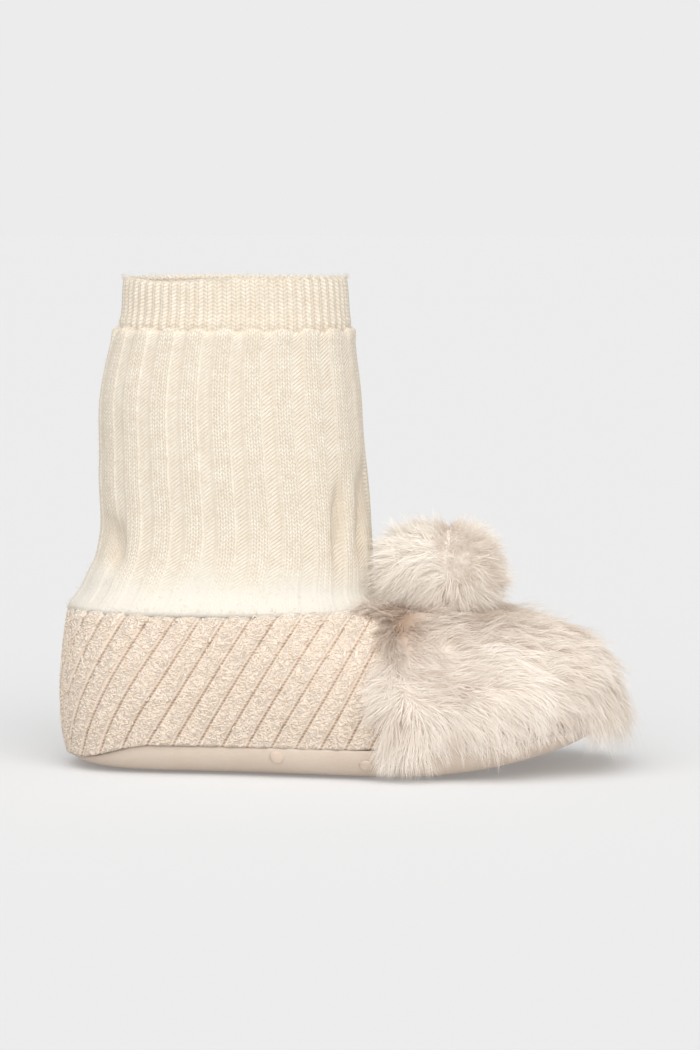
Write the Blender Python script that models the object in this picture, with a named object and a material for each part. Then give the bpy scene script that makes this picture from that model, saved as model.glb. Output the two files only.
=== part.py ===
"""Baby bootie: soft cupped sole, hollow upper, corduroy quarter, fur vamp with a pompom, rib-knit sock shaft.

X runs from heel to toe, Y across the foot and Z up from the floor. Lengths are in metres.
"""

import math

import bmesh
import bpy
import numpy as np
from mathutils import Matrix, Vector

# Sole outline, measured on the feather line where the upper meets the sole.
SOLE_LENGTH = 0.1176
HEEL_HALF_WIDTH = 0.0222
HEEL_ROUND = 0.0240
BALL_HALF_WIDTH = 0.0278
BALL_X = 0.0800
HEEL_SQUARENESS = 2.2
TOE_SQUARENESS = 2.3

# Sole heights: a low seam at the heel and toe, a higher one between, and a toe that lifts off the floor.
SEAM_HEIGHT_HEEL = 0.0032
SEAM_HEIGHT_MIDDLE = 0.0070
SEAM_HEIGHT_TOE = 0.0042
SEAM_RISE_FROM = 0.003
SEAM_RISE_TO = 0.020
TOE_SPRING = 0.0085
TOE_SPRING_FROM = 0.074
TOE_SPRING_CURVE = 1.8
SOLE_FLOOR_THICKNESS = 0.0015
SOLE_RIM_OUT = 0.0015
SOLE_RIM_IN = 0.0013
SOLE_FLAT_INSET = 0.0030

# Upper: a wall that leans in to the topline, and a dome over the toes.
WALL = 0.0014
TOPLINE_HEIGHT = 0.0349
TOPLINE_BACK = 0.0003
TOPLINE_FRONT = 0.0666
TOPLINE_HALF_WIDTH = 0.0205
TOPLINE_SQUARENESS = 2.4
TOPLINE_CROWDING = 4.0
DOME_SQUARENESS = 2.6
DOME_STARTS = 0.058
DOME_FULL = 0.096
SIDE_BULGE = 0.0015
BULGE_LOWERED = 0.75

# Corduroy quarter: raised wales that lean forward as they rise.
CORD_THICKNESS = 0.0013
WALE_PITCH = 0.0055
WALE_RELIEF = 0.0008
WALE_LEAN = 0.0180
COLUMNS_PER_WALE = 3

# Seam across the instep between corduroy and fur.
SEAM_X_BOTTOM = 0.0716
SEAM_X_TOP = 0.0652

# Fur: a dense pile with locks swept to the toe, short where the pompom sits on it.
PILE = 0.0042
PILE_UNDER_POMPOM = 0.0008
LOCK_LENGTH = 0.0068
LOCK_LONGER_AT_TOE = 0.6
LOCK_RADIUS = 0.0026
LOCK_ROWS = (0.06, 0.22, 0.39, 0.56, 0.73)
LOCKS_IN_LOWEST_ROW = 17
LOCK_SWEEP_LOW = Vector((0.5, 0.0, -1.0))
LOCK_SWEEP_HIGH = Vector((1.0, 0.0, -0.1))

# Pompom on the instep.
POMPOM_CENTRE = Vector((0.0822, 0.0, 0.0464))
POMPOM_HALF = Vector((0.0147, 0.0150, 0.0105))
POMPOM_CORE_SHARE = 0.74
POMPOM_LOCKS = 36

# Sock shaft: one row a section, from the topline up to the folded edge of the cuff.
SHAFT_WALL = 0.0016
SHAFT_SQUARENESS = 2.25
RIB_REPEATS = 22
COLUMNS_PER_RIB = 3
RIB_RELIEF = 0.0008
CUFF_STARTS = 0.0967
SHAFT_COLUMNS = ("height", "back", "front", "half_width")
SHAFT_SECTIONS = (
    (0.0380, 0.0014, 0.0665, 0.0194),
    (0.0412, 0.0027, 0.0665, 0.0184),
    (0.0458, 0.0050, 0.0664, 0.0177),
    (0.0505, 0.0065, 0.0661, 0.0175),
    (0.0656, 0.0061, 0.0651, 0.0182),
    (0.0810, 0.0058, 0.0639, 0.0186),
    (0.0900, 0.0072, 0.0628, 0.0183),
    (0.0957, 0.0090, 0.0622, 0.0178),
    (0.0977, 0.0106, 0.0615, 0.0170),
    (0.1070, 0.0116, 0.0604, 0.0165),
)

# Insole, a thin pad in the cup of the sole.
INSOLE_THICKNESS = 0.0022
INSOLE_INSET = 0.0022

# Gaps and fineness.
GAP = 0.0003
OVERLAY_GAP = 0.0005
OUTLINE_SAMPLES = 160
UPPER_COLUMNS = 72
UPPER_ROWS = (0.0, 0.2, 0.4, 0.6, 0.8, 0.91, 1.0)
OVERLAY_ROWS = (0.025,) + UPPER_ROWS[1:]
SOLE_COLUMNS = 48
SOLE_RINGS = (0.45, 0.75)
FUR_COLUMNS = 26
LOCK_SIDES = 4
NORMAL_STEP = 0.004
MERGE = 0.00002
SEED = 7

# Linear colours and roughness of each material.
FINISHES = {
    "sole_fabric": ((0.745, 0.620, 0.515), 0.85),
    "insole_fabric": ((0.820, 0.740, 0.640), 0.90),
    "lining": ((0.830, 0.760, 0.670), 0.90),
    "corduroy": ((0.790, 0.645, 0.535), 0.95),
    "fur": ((0.800, 0.715, 0.640), 0.95),
    "rib_knit": ((0.900, 0.835, 0.730), 0.92),
}


def smooth_step(value, low, high):
    """0 below low, 1 above high, with an eased rise between."""
    t = np.clip((value - low) / (high - low), 0.0, 1.0)
    return t * t * (3.0 - 2.0 * t)


def outline_table():
    """Fractions of the sole's perimeter with the feather line's x and y there.

    The fraction starts at the back of the heel and runs forward along -Y, round the toe and back along +Y.
    """
    turn = np.linspace(0.0, math.pi / 2, OUTLINE_SAMPLES)
    heel_x = HEEL_ROUND * (1.0 - np.cos(turn) ** (2.0 / HEEL_SQUARENESS))
    heel_y = HEEL_HALF_WIDTH * np.sin(turn) ** (2.0 / HEEL_SQUARENESS)
    side_x = np.linspace(HEEL_ROUND, BALL_X, OUTLINE_SAMPLES)
    widening = smooth_step(side_x, HEEL_ROUND, BALL_X)
    side_y = HEEL_HALF_WIDTH + (BALL_HALF_WIDTH - HEEL_HALF_WIDTH) * widening
    toe_x = BALL_X + (SOLE_LENGTH - BALL_X) * np.sin(turn) ** (2.0 / TOE_SQUARENESS)
    toe_y = BALL_HALF_WIDTH * np.cos(turn) ** (2.0 / TOE_SQUARENESS)
    half_x = np.concatenate([heel_x, side_x[1:], toe_x[1:]])
    half_y = np.concatenate([heel_y, side_y[1:], toe_y[1:]])
    x = np.concatenate([half_x, half_x[-2::-1]])
    y = np.concatenate([-half_y, half_y[-2::-1]])
    steps = np.hypot(np.diff(x), np.diff(y))
    length = np.concatenate([[0.0], np.cumsum(steps)])
    return length / length[-1], x, y, length[-1]


OUTLINE_S, OUTLINE_X, OUTLINE_Y, PERIMETER = outline_table()


def feather_line(s):
    """x and y of the feather line at fractions s of the perimeter, which may run past 0 and 1."""
    s = np.mod(s, 1.0)
    return np.interp(s, OUTLINE_S, OUTLINE_X), np.interp(s, OUTLINE_S, OUTLINE_Y)


def spring(x):
    """Lift of the sole off the floor at x."""
    t = np.clip((x - TOE_SPRING_FROM) / (SOLE_LENGTH - TOE_SPRING_FROM), 0.0, None)
    return TOE_SPRING * t**TOE_SPRING_CURVE


def seam_height(x):
    """Height of the seam between sole and upper at x."""
    rise = (SEAM_HEIGHT_MIDDLE - SEAM_HEIGHT_HEEL) * smooth_step(x, SEAM_RISE_FROM, SEAM_RISE_TO)
    fall = (SEAM_HEIGHT_MIDDLE - SEAM_HEIGHT_TOE) * smooth_step(x, BALL_X, SOLE_LENGTH)
    return SEAM_HEIGHT_HEEL + rise - fall + spring(x)


def topline(x, y):
    """x and y of the point on the topline that the wall at the feather line's x and y rises to."""
    centre = (TOPLINE_BACK + TOPLINE_FRONT) / 2
    reach = (TOPLINE_FRONT - TOPLINE_BACK) / 2
    behind = (x - centre) / centre
    ahead = np.clip(x - centre, 0.0, None) / reach
    most_ahead = (SOLE_LENGTH - centre) / reach

    def crowded(t):
        return t / (1.0 + t**TOPLINE_CROWDING) ** (1.0 / TOPLINE_CROWDING)

    share = np.where(x < centre, behind, crowded(ahead) / crowded(most_ahead))
    share = np.clip(share, -1.0, 1.0)
    width = (1.0 - np.abs(share) ** TOPLINE_SQUARENESS) ** (1.0 / TOPLINE_SQUARENESS)
    return centre + reach * share, np.sign(y) * TOPLINE_HALF_WIDTH * width


def last_surface(s, v):
    """Points of the last at fractions s round the foot and v from the feather line to the topline."""
    s, v = np.broadcast_arrays(np.asarray(s, float), np.asarray(v, float))
    x, y = feather_line(s)
    top_x, top_y = topline(x, y)
    bottom = seam_height(x)
    turn = np.clip(v, 0.0, 1.0) * math.pi / 2
    dome = smooth_step(x, DOME_STARTS, DOME_FULL)
    power = 2.0 / DOME_SQUARENESS
    rise = (1.0 - dome) * v + dome * np.sin(turn) ** power
    lean = (1.0 - dome) * np.clip(v, 0.0, None) ** 3 + dome * (1.0 - np.clip(np.cos(turn), 0.0, 1.0) ** power)
    out = SIDE_BULGE * np.sin(np.pi * np.clip(v, 0.0, 1.0) ** BULGE_LOWERED)
    ahead_x, ahead_y = feather_line(s + NORMAL_STEP)
    back_x, back_y = feather_line(s - NORMAL_STEP)
    along = np.hypot(ahead_x - back_x, ahead_y - back_y)
    px = x + (top_x - x) * lean + out * (ahead_y - back_y) / along
    py = y + (top_y - y) * lean - out * (ahead_x - back_x) / along
    pz = bottom + (TOPLINE_HEIGHT - bottom) * rise
    return np.stack([px, py, pz], axis=-1)


def last_normal(s, v):
    """Outward unit normals of the last."""
    s, v = np.broadcast_arrays(np.asarray(s, float), np.asarray(v, float))
    along = last_surface(s + NORMAL_STEP, v) - last_surface(s - NORMAL_STEP, v)
    above = np.clip(v + NORMAL_STEP, 0.0, 1.0)
    below = np.clip(v - NORMAL_STEP, 0.0, 1.0)
    up = last_surface(s, above) - last_surface(s, below)
    normal = np.cross(along, up)
    return normal / np.linalg.norm(normal, axis=-1, keepdims=True)


def last_offset(s, v, distance):
    """Points of the last moved out by a distance."""
    distance = np.asarray(distance, float)
    return last_surface(s, v) + last_normal(s, v) * distance[..., None]


def instep_seam(v):
    """Fraction of the perimeter on the -Y side where the seam across the instep lies at height share v."""
    wanted = SEAM_X_BOTTOM + (SEAM_X_TOP - SEAM_X_BOTTOM) * v
    s = np.linspace(0.0, 0.5, OUTLINE_SAMPLES)
    x = last_surface(s, np.full_like(s, v))[:, 0]
    return float(np.interp(wanted, x, s))


def new_material(name):
    """A plain material in the colour and roughness of the finish of that name."""
    colour, roughness = FINISHES[name]
    material = bpy.data.materials.new(name)
    material.use_nodes = True
    shader = material.node_tree.nodes["Principled BSDF"]
    shader.inputs["Base Color"].default_value = (*colour, 1.0)
    shader.inputs["Roughness"].default_value = roughness
    shader.inputs["Metallic"].default_value = 0.0
    return material


def add_object(name, mesh_builder, collection, material=None):
    """Turns a bmesh into a named object with outward faces."""
    bmesh.ops.remove_doubles(mesh_builder, verts=mesh_builder.verts, dist=MERGE)
    bmesh.ops.recalc_face_normals(mesh_builder, faces=mesh_builder.faces)
    mesh = bpy.data.meshes.new(name)
    mesh_builder.to_mesh(mesh)
    mesh_builder.free()
    mesh.shade_smooth()
    mesh.set_sharp_from_angle(angle=math.radians(50))
    made = bpy.data.objects.new(name, mesh)
    collection.objects.link(made)
    if material:
        mesh.materials.append(material)
    return made


def loft(builder, rings, closed=False, caps=""):
    """Skins a run of equal rings of points.

    closed joins the last ring to the first. caps is "fan" for a fan on each end's centre, "wall" for a strip
    between the two halves of each end's ring, or empty.
    """
    rows = [[builder.verts.new(point) for point in ring] for ring in rings]
    count = len(rows[0])
    pairs = list(zip(rows, rows[1:]))
    if closed:
        pairs.append((rows[-1], rows[0]))
    for lower, upper in pairs:
        for k in range(count):
            after = (k + 1) % count
            builder.faces.new((lower[k], lower[after], upper[after], upper[k]))
    for end in (rows[0], rows[-1]):
        if caps == "fan":
            centre = sum((vert.co for vert in end), Vector()) / count
            middle = builder.verts.new(centre)
            for k in range(count):
                builder.faces.new((end[k], end[(k + 1) % count], middle))
        elif caps == "wall":
            for k in range(count // 2 - 1):
                across = count - 1 - k
                builder.faces.new((end[k], end[k + 1], end[across - 1], end[across]))


def sole_ring(inset, height=None, share=1.0):
    """A ring of the sole: the feather line moved in by inset, shrunk by share, at a height over the sprung floor."""
    s = np.arange(SOLE_COLUMNS) / SOLE_COLUMNS
    x, y = feather_line(s)
    seam = seam_height(x) - GAP
    ahead_x, ahead_y = feather_line(s + NORMAL_STEP)
    back_x, back_y = feather_line(s - NORMAL_STEP)
    along = np.hypot(ahead_x - back_x, ahead_y - back_y)
    x = x - inset * (ahead_y - back_y) / along
    y = y + inset * (ahead_x - back_x) / along
    middle = SOLE_LENGTH / 2
    x = middle + (x - middle) * share
    y = y * share
    z = seam if height is None else spring(x) + height
    return np.stack([x, y, np.broadcast_to(z, x.shape)], axis=-1)


def build_outsole(collection):
    """The cupped sole: a flat floor with a rounded edge, a low rim at the heel and a higher one forward."""
    low_edge = 0.6 * SEAM_HEIGHT_HEEL
    outside = [sole_ring(SOLE_FLAT_INSET, 0.0, share) for share in SOLE_RINGS]
    outside.append(sole_ring(SOLE_FLAT_INSET, 0.0))
    outside.append(sole_ring(0.3 * SOLE_FLAT_INSET, 0.3 * low_edge))
    outside.append(sole_ring(-0.4 * SOLE_RIM_OUT, low_edge))
    outside.append(sole_ring(-SOLE_RIM_OUT))
    inside = [sole_ring(SOLE_RIM_IN)]
    inside.append(sole_ring(SOLE_RIM_IN + GAP, SOLE_FLOOR_THICKNESS))
    inside += [sole_ring(SOLE_RIM_IN, SOLE_FLOOR_THICKNESS, share) for share in reversed(SOLE_RINGS)]
    builder = bmesh.new()
    loft(builder, outside + inside, caps="fan")
    return add_object("outsole", builder, collection, new_material("sole_fabric"))


def build_insole(collection):
    """The insole, a pad that follows the toe spring inside the cup and the upper."""
    low = SOLE_FLOOR_THICKNESS + GAP
    high = low + INSOLE_THICKNESS
    softened = INSOLE_INSET + 0.0006
    rings = [sole_ring(INSOLE_INSET, low, share) for share in SOLE_RINGS]
    rings.append(sole_ring(INSOLE_INSET, low))
    rings.append(sole_ring(INSOLE_INSET, 0.5 * (low + high)))
    rings.append(sole_ring(softened, high))
    rings += [sole_ring(softened, high, share) for share in reversed(SOLE_RINGS)]
    builder = bmesh.new()
    loft(builder, rings, caps="fan")
    return add_object("insole", builder, collection, new_material("insole_fabric"))


def build_upper(collection):
    """The hollow upper on the last: open underneath for the sole and open at the topline for the shaft."""
    s = np.arange(UPPER_COLUMNS) / UPPER_COLUMNS
    outer = [last_offset(s, np.full_like(s, v), np.zeros_like(s)) for v in UPPER_ROWS]
    inner = [last_offset(s, np.full_like(s, v), np.full_like(s, -WALL)) for v in UPPER_ROWS]
    builder = bmesh.new()
    loft(builder, outer + inner[::-1], closed=True)
    return add_object("upper", builder, collection, new_material("lining"))


def build_corduroy(collection):
    """The corduroy quarter: one strip round the heel, between the upper's surface and its own raised wales."""
    rows = np.array(OVERLAY_ROWS)
    seams = np.array([instep_seam(v) for v in rows])
    column = WALE_PITCH / COLUMNS_PER_WALE / PERIMETER
    skew = WALE_LEAN / PERIMETER
    first = -seams.max() - skew
    count = int((seams.max() - first) / column) + 2
    sections = []
    for k in range(count):
        s = np.clip(first + k * column + skew * rows, -seams, seams)
        at_end = np.isclose(np.abs(s), seams)
        groove = (k % COLUMNS_PER_WALE == 0) | at_end
        outer = last_offset(s, rows, OVERLAY_GAP + CORD_THICKNESS - np.where(groove, WALE_RELIEF, 0.0))
        inner = last_offset(s, rows, np.full_like(s, OVERLAY_GAP))
        sections.append(np.concatenate([outer, inner[::-1]]))
    builder = bmesh.new()
    loft(builder, sections, caps="wall")
    return add_object("corduroy_quarter", builder, collection, new_material("corduroy"))


def shaft_ring(section, offset):
    """A ring of the shaft at one section, moved out by an offset for each column."""
    size = dict(zip(SHAFT_COLUMNS, section))
    count = RIB_REPEATS * COLUMNS_PER_RIB
    turn = 2.0 * math.pi * np.arange(count) / count
    power = 2.0 / SHAFT_SQUARENESS
    reach = (size["front"] - size["back"]) / 2
    x = -np.sign(np.cos(turn)) * np.abs(np.cos(turn)) ** power
    y = -np.sign(np.sin(turn)) * np.abs(np.sin(turn)) ** power
    x = (size["front"] + size["back"]) / 2 + x * (reach + offset)
    y = y * (size["half_width"] + offset)
    return np.stack([x, y, np.full(count, size["height"])], axis=-1)


def topline_ring(offset):
    """A ring of the shaft's foot, on the topline of the upper, with the shaft's own count of columns."""
    return shaft_ring((TOPLINE_HEIGHT + GAP, TOPLINE_BACK, TOPLINE_FRONT, TOPLINE_HALF_WIDTH), offset)


def build_shaft(collection):
    """The knitted sock: broad ribs up to the cuff, which is a step in to a plain band."""
    count = RIB_REPEATS * COLUMNS_PER_RIB
    purl = np.arange(count) % COLUMNS_PER_RIB == 0
    ribbed = np.where(purl, -RIB_RELIEF, 0.0)
    plain = np.zeros(count)
    outer = [topline_ring(plain)]
    inner = [topline_ring(plain - SHAFT_WALL)]
    for section in SHAFT_SECTIONS:
        in_cuff = section[0] > CUFF_STARTS
        outer.append(shaft_ring(section, plain if in_cuff else ribbed))
        inner.append(shaft_ring(section, plain - SHAFT_WALL))
    builder = bmesh.new()
    loft(builder, outer + inner[::-1], closed=True)
    return add_object("sock_shaft", builder, collection, new_material("rib_knit"))


def add_lock(builder, root, direction, droop, length, radius):
    """Adds a tapered lock of hair to a builder, from a root along a direction, bending by droop to its tip."""
    direction = direction.normalized()
    side = direction.orthogonal().normalized()
    across = direction.cross(side)
    rings = []
    for along, width in ((0.0, 1.0), (0.55, 0.75), (1.0, 0.0)):
        centre = root + direction * (length * along) + droop * (length * along**2)
        angles = [2.0 * math.pi * k / LOCK_SIDES for k in range(LOCK_SIDES)]
        spread = radius * width
        rings.append([centre + (side * math.cos(a) + across * math.sin(a)) * spread for a in angles])
    loft(builder, rings, caps="fan")


def fuse_locks(body, builder, cutters):
    """Joins a builder's locks to a body with a Boolean union."""
    locks = add_object(body.name + "_locks", builder, cutters)
    locks.hide_render = True
    locks.display_type = "WIRE"
    union = body.modifiers.new("fuse_locks", "BOOLEAN")
    union.operation = "UNION"
    union.solver = "EXACT"
    union.use_self = True
    union.object = locks


def pile_depth(points):
    """Depth of the fur at points of the last: full, but pressed down where the pompom sits."""
    dx = (points[..., 0] - POMPOM_CENTRE.x) / POMPOM_HALF.x
    dy = points[..., 1] / POMPOM_HALF.y
    clear = smooth_step(np.hypot(dx, dy), 0.75, 1.25)
    return PILE_UNDER_POMPOM + (PILE - PILE_UNDER_POMPOM) * clear


def build_fur(collection, cutters):
    """The fur vamp: a pile over the toe dome with rows of locks swept forward and down over the sole's edge."""
    rows = np.array(OVERLAY_ROWS)
    seams = np.array([instep_seam(v) for v in rows]) + GAP / PERIMETER
    sections = []
    for k in range(FUR_COLUMNS + 1):
        s = seams + (1.0 - 2.0 * seams) * k / FUR_COLUMNS
        base = last_surface(s, rows)
        outer = last_offset(s, rows, OVERLAY_GAP + pile_depth(base))
        inner = last_offset(s, rows, np.full_like(s, OVERLAY_GAP))
        sections.append(np.concatenate([outer, inner[::-1]]))
    builder = bmesh.new()
    loft(builder, sections, caps="wall")
    fur = add_object("vamp_fur", builder, collection, new_material("fur"))

    draw = np.random.default_rng(SEED)
    builder = bmesh.new()
    for row, v in enumerate(LOCK_ROWS):
        count = LOCKS_IN_LOWEST_ROW - 2 * row
        seam = instep_seam(v)
        sweep = LOCK_SWEEP_LOW.lerp(LOCK_SWEEP_HIGH, row / (len(LOCK_ROWS) - 1))
        shuffle = draw.uniform(-0.25, 0.25, count)
        lengths = LOCK_LENGTH * draw.uniform(0.8, 1.1, count)
        shares = (np.arange(count) + 0.5 + (shuffle - shuffle[::-1]) / 2) / count
        for share, length in zip(shares, (lengths + lengths[::-1]) / 2):
            s = seam + (1.0 - 2.0 * seam) * share
            depth = float(pile_depth(last_surface(s, v)))
            if depth < 0.8 * PILE:
                continue
            root = Vector(last_offset(s, v, 0.55 * depth))
            if row == 0:
                length *= 1.0 + LOCK_LONGER_AT_TOE * smooth_step(root.x, BALL_X, SOLE_LENGTH)
            normal = Vector(last_normal(s, v))
            flat = (sweep - normal * sweep.dot(normal)).normalized()
            add_lock(builder, root, flat * 0.8 + normal * 0.55, normal * -0.12, length, LOCK_RADIUS)
    fuse_locks(fur, builder, cutters)
    return fur


def build_pompom(collection, cutters):
    """The pompom: a round core with locks fused on all the way round."""
    builder = bmesh.new()
    bmesh.ops.create_uvsphere(builder, u_segments=14, v_segments=9, radius=1.0)
    size = POMPOM_HALF * POMPOM_CORE_SHARE
    bmesh.ops.transform(builder, verts=builder.verts, matrix=Matrix.Diagonal((*size, 1.0)))
    bmesh.ops.translate(builder, verts=builder.verts, vec=POMPOM_CENTRE)
    pompom = add_object("pompom", builder, collection, new_material("fur"))

    builder = bmesh.new()
    golden = math.pi * (3.0 - math.sqrt(5.0))
    for k in range(POMPOM_LOCKS):
        height = 1.0 - 2.0 * (k + 0.5) / POMPOM_LOCKS
        level = math.sqrt(1.0 - height * height)
        out = Vector((level * math.cos(golden * k), level * math.sin(golden * k), height))
        root = POMPOM_CENTRE + out * size * 0.80
        tip = POMPOM_CENTRE + out * POMPOM_HALF
        add_lock(builder, root, tip - root, Vector(), (tip - root).length, 1.25 * LOCK_RADIUS)
    fuse_locks(pompom, builder, cutters)
    return pompom


def stand_on_origin(pieces, helpers):
    """Moves everything along X so that the origin is at the bottom centre of the whole bootie."""
    bpy.context.view_layer.update()
    graph = bpy.context.evaluated_depsgraph_get()
    reach = []
    for piece in pieces:
        evaluated = piece.evaluated_get(graph)
        reach += [(evaluated.matrix_world @ Vector(corner)).x for corner in evaluated.bound_box]
    shift = Vector(((min(reach) + max(reach)) / 2, 0.0, 0.0))
    for moved in (*pieces, *helpers.objects):
        moved.data.transform(Matrix.Translation(-shift))


def main():
    for leftover in list(bpy.data.objects):
        bpy.data.objects.remove(leftover)
    bootie = bpy.data.collections.new("baby_bootie")
    cutters = bpy.data.collections.new("cutters")
    for collection in (bootie, cutters):
        bpy.context.scene.collection.children.link(collection)
    pieces = [
        build_outsole(bootie),
        build_insole(bootie),
        build_upper(bootie),
        build_corduroy(bootie),
        build_shaft(bootie),
        build_fur(bootie, cutters),
        build_pompom(bootie, cutters),
    ]
    stand_on_origin(pieces, cutters)


main()
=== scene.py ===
"""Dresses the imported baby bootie: rib-knit sock, corduroy quarter, fur vamp with a pompom, soft dotted sole.

Lengths are in metres. X runs from heel to toe, Y across the foot and Z up from the floor,
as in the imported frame.
"""

import logging
import math
from dataclasses import dataclass, replace
from enum import Enum
from functools import cached_property

import bpy
import numpy as np
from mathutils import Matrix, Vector

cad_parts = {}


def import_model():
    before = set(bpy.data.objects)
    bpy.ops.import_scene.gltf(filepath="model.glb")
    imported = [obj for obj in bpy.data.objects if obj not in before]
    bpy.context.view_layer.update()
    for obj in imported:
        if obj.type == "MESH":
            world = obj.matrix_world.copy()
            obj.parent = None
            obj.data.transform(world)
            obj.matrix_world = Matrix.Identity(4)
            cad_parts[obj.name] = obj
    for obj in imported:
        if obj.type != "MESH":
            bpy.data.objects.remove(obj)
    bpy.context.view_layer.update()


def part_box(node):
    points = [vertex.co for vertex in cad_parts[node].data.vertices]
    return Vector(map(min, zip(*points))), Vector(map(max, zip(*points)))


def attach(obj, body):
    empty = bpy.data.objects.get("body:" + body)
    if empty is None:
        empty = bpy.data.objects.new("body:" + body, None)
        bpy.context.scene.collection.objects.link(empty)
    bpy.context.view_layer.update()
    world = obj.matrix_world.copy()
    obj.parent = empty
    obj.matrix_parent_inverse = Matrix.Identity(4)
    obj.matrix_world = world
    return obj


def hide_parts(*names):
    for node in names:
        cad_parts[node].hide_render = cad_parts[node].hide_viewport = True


LOG = logging.getLogger("bootie")
ROOT_BODY = "root"
PHOTO_SIZE = (700, 1050)
WELD_DISTANCE = 2e-6
BACK_ROWS = 5
LOCK_BATCH = 1000
Array = np.ndarray
Colour = tuple[float, float, float]


class KnitPart(Enum):
    """The two knitted parts of the sock and the loose fibres on them."""

    SHAFT = "sock_shaft_knit"
    CUFF = "sock_cuff_knit"
    FUZZ = "sock_fuzz"


class CorduroyPart(Enum):
    """The corduroy's cloth and the curly pile on it."""

    CLOTH = "corduroy_cloth"
    PILE = "corduroy_curls"


class StrandSection(Enum):
    """Shape across a strand, as corners sideways and outwards in half widths."""

    FLAT_BACK = ((1.0, 0.0), (0.0, -0.7), (-1.0, 0.0))
    ROUND_BACK = ((1.0, -0.5), (-1.0, -0.5), (-0.62, 0.45), (0.62, 0.45))


@dataclass(frozen=True)
class HairStyle:
    """How one layer of hair grows, in metres; lift, strays and pull are shares of a hair's length."""

    name: str
    hairs: int
    steps: int
    shortest: float
    longest: float
    half_width: float
    lift: tuple[float, float]
    lock: int
    pull: float
    lock_stray: float
    hair_stray: float
    wave: float
    # root_shows: how far along the hair its root already is, for the painted shade at the roots; higher leaves
    # less of that shade
    root_shows: float = 0.2


class FurLayer(Enum):
    """The layers of hair in the vamp and its pompom."""

    UNDERCOAT = HairStyle(
        "vamp_fur_undercoat", 14500, 3, 0.0034, 0.0054, 0.000105, (0.30, 0.75), 26, 0.35, 0.30, 0.22, 0.00020
    )
    GUARD = HairStyle(
        "vamp_fur_guard_hair", 14500, 3, 0.0055, 0.0085, 0.000055, (0.25, 0.70), 20, 0.50, 0.26, 0.15, 0.00025
    )
    FRINGE = HairStyle(
        "vamp_fur_fringe", 8000, 3, 0.0045, 0.0068, 0.000080, (0.20, 0.55), 16, 0.45, 0.24, 0.18, 0.00025
    )
    POMPOM = HairStyle(
        "pompom_hair", 18000, 3, 0.0034, 0.0060, 0.000072, (0.40, 0.80), 24, 0.35, 0.32, 0.22, 0.00030, 0.38
    )


def smooth_step(value: Array, low: float, high: float) -> Array:
    """Eases from 0 to 1 between two limits.

    Args:
        value: Numbers to ease.
        low: Where the rise starts.
        high: Where the rise ends.

    Returns:
        An array of the same shape, between 0 and 1.
    """
    t = np.clip((np.asarray(value, float) - low) / (high - low), 0.0, 1.0)
    return t * t * (3.0 - 2.0 * t)


def unit(vectors: Array) -> Array:
    """Scales vectors to length one.

    Args:
        vectors: Vectors along the last axis.

    Returns:
        The unit vectors.
    """
    return vectors / np.maximum(np.linalg.norm(vectors, axis=-1, keepdims=True), 1e-12)


def value_noise(points: Array, cell: float, seed: int) -> Array:
    """Smooth random numbers over space, the same on every run.

    Args:
        points: Places along the last axis, in metres.
        cell: Size of one bump, in metres.
        seed: Picks one of many such fields.

    Returns:
        Numbers between -1 and 1, one a place.
    """
    scaled = np.asarray(points, float) / cell
    corner = np.floor(scaled).astype(np.int64)
    inside = scaled - corner
    inside = inside * inside * (3.0 - 2.0 * inside)
    total = np.zeros(scaled.shape[:-1])
    for step in np.ndindex(2, 2, 2):
        place = (corner + np.array(step)).astype(np.uint64)
        mixed = place[..., 0] * np.uint64(73856093) ^ place[..., 1] * np.uint64(19349663)
        mixed = mixed ^ place[..., 2] * np.uint64(83492791) ^ np.uint64(seed * 2654435761)
        mixed = (mixed ^ (mixed >> np.uint64(15))) * np.uint64(2246822519)
        mixed = (mixed ^ (mixed >> np.uint64(13))) * np.uint64(3266489917)
        share = (mixed >> np.uint64(8) & np.uint64(0xFFFFFF)).astype(float) / float(0xFFFFFF)
        weight = np.prod(np.where(np.array(step) == 1, inside, 1.0 - inside), axis=-1)
        total += weight * share
    return 2.0 * total - 1.0


def face_and_back(low: float, rows: int) -> tuple[Array, Array]:
    """Rows of a thin cloth: up its face, down its back and on to the face's start.

    Args:
        low: Share of the way up the last where the cloth starts.
        rows: How many rows its face has.

    Returns:
        The share of the way up of each row, and a column that says which rows are on the face.
    """
    face = np.linspace(low, 1.0, rows)
    v_row = np.concatenate([face, np.linspace(1.0, low, BACK_ROWS), face[:1]])
    return v_row, np.repeat([True, False, True], [rows, BACK_ROWS, 1])[:, None]


def deselect_all() -> None:
    """Leaves edit mode and clears the selection."""
    if bpy.context.object and bpy.context.object.mode != "OBJECT":
        bpy.ops.object.mode_set(mode="OBJECT")
    bpy.ops.object.select_all(action="DESELECT")


def link(name: str, data: bpy.types.ID) -> bpy.types.Object:
    """Puts new data into the scene.

    Args:
        name: Name of the object.
        data: Its mesh, camera or light.

    Returns:
        The object, at the origin.
    """
    made = bpy.data.objects.new(name, data)
    bpy.context.scene.collection.objects.link(made)
    return made


def keep_marks(mesh: bpy.types.Mesh, marks: dict[str, Array]) -> None:
    """Keeps numbers as point attributes of a mesh.

    Args:
        mesh: The mesh.
        marks: One number a point, for each attribute's name.
    """
    for mark, values in marks.items():
        layer = mesh.attributes.new(mark, "FLOAT", "POINT")
        layer.data.foreach_set("value", values.reshape(-1).astype(np.float32))


def dress(piece: bpy.types.Object, material: bpy.types.Material, node: str) -> None:
    """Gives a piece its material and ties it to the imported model.

    Args:
        piece: The piece.
        material: Its material.
        node: The solid that the piece stands for.
    """
    piece.data.materials.append(material)
    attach(piece, ROOT_BODY)
    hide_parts(node)


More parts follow.
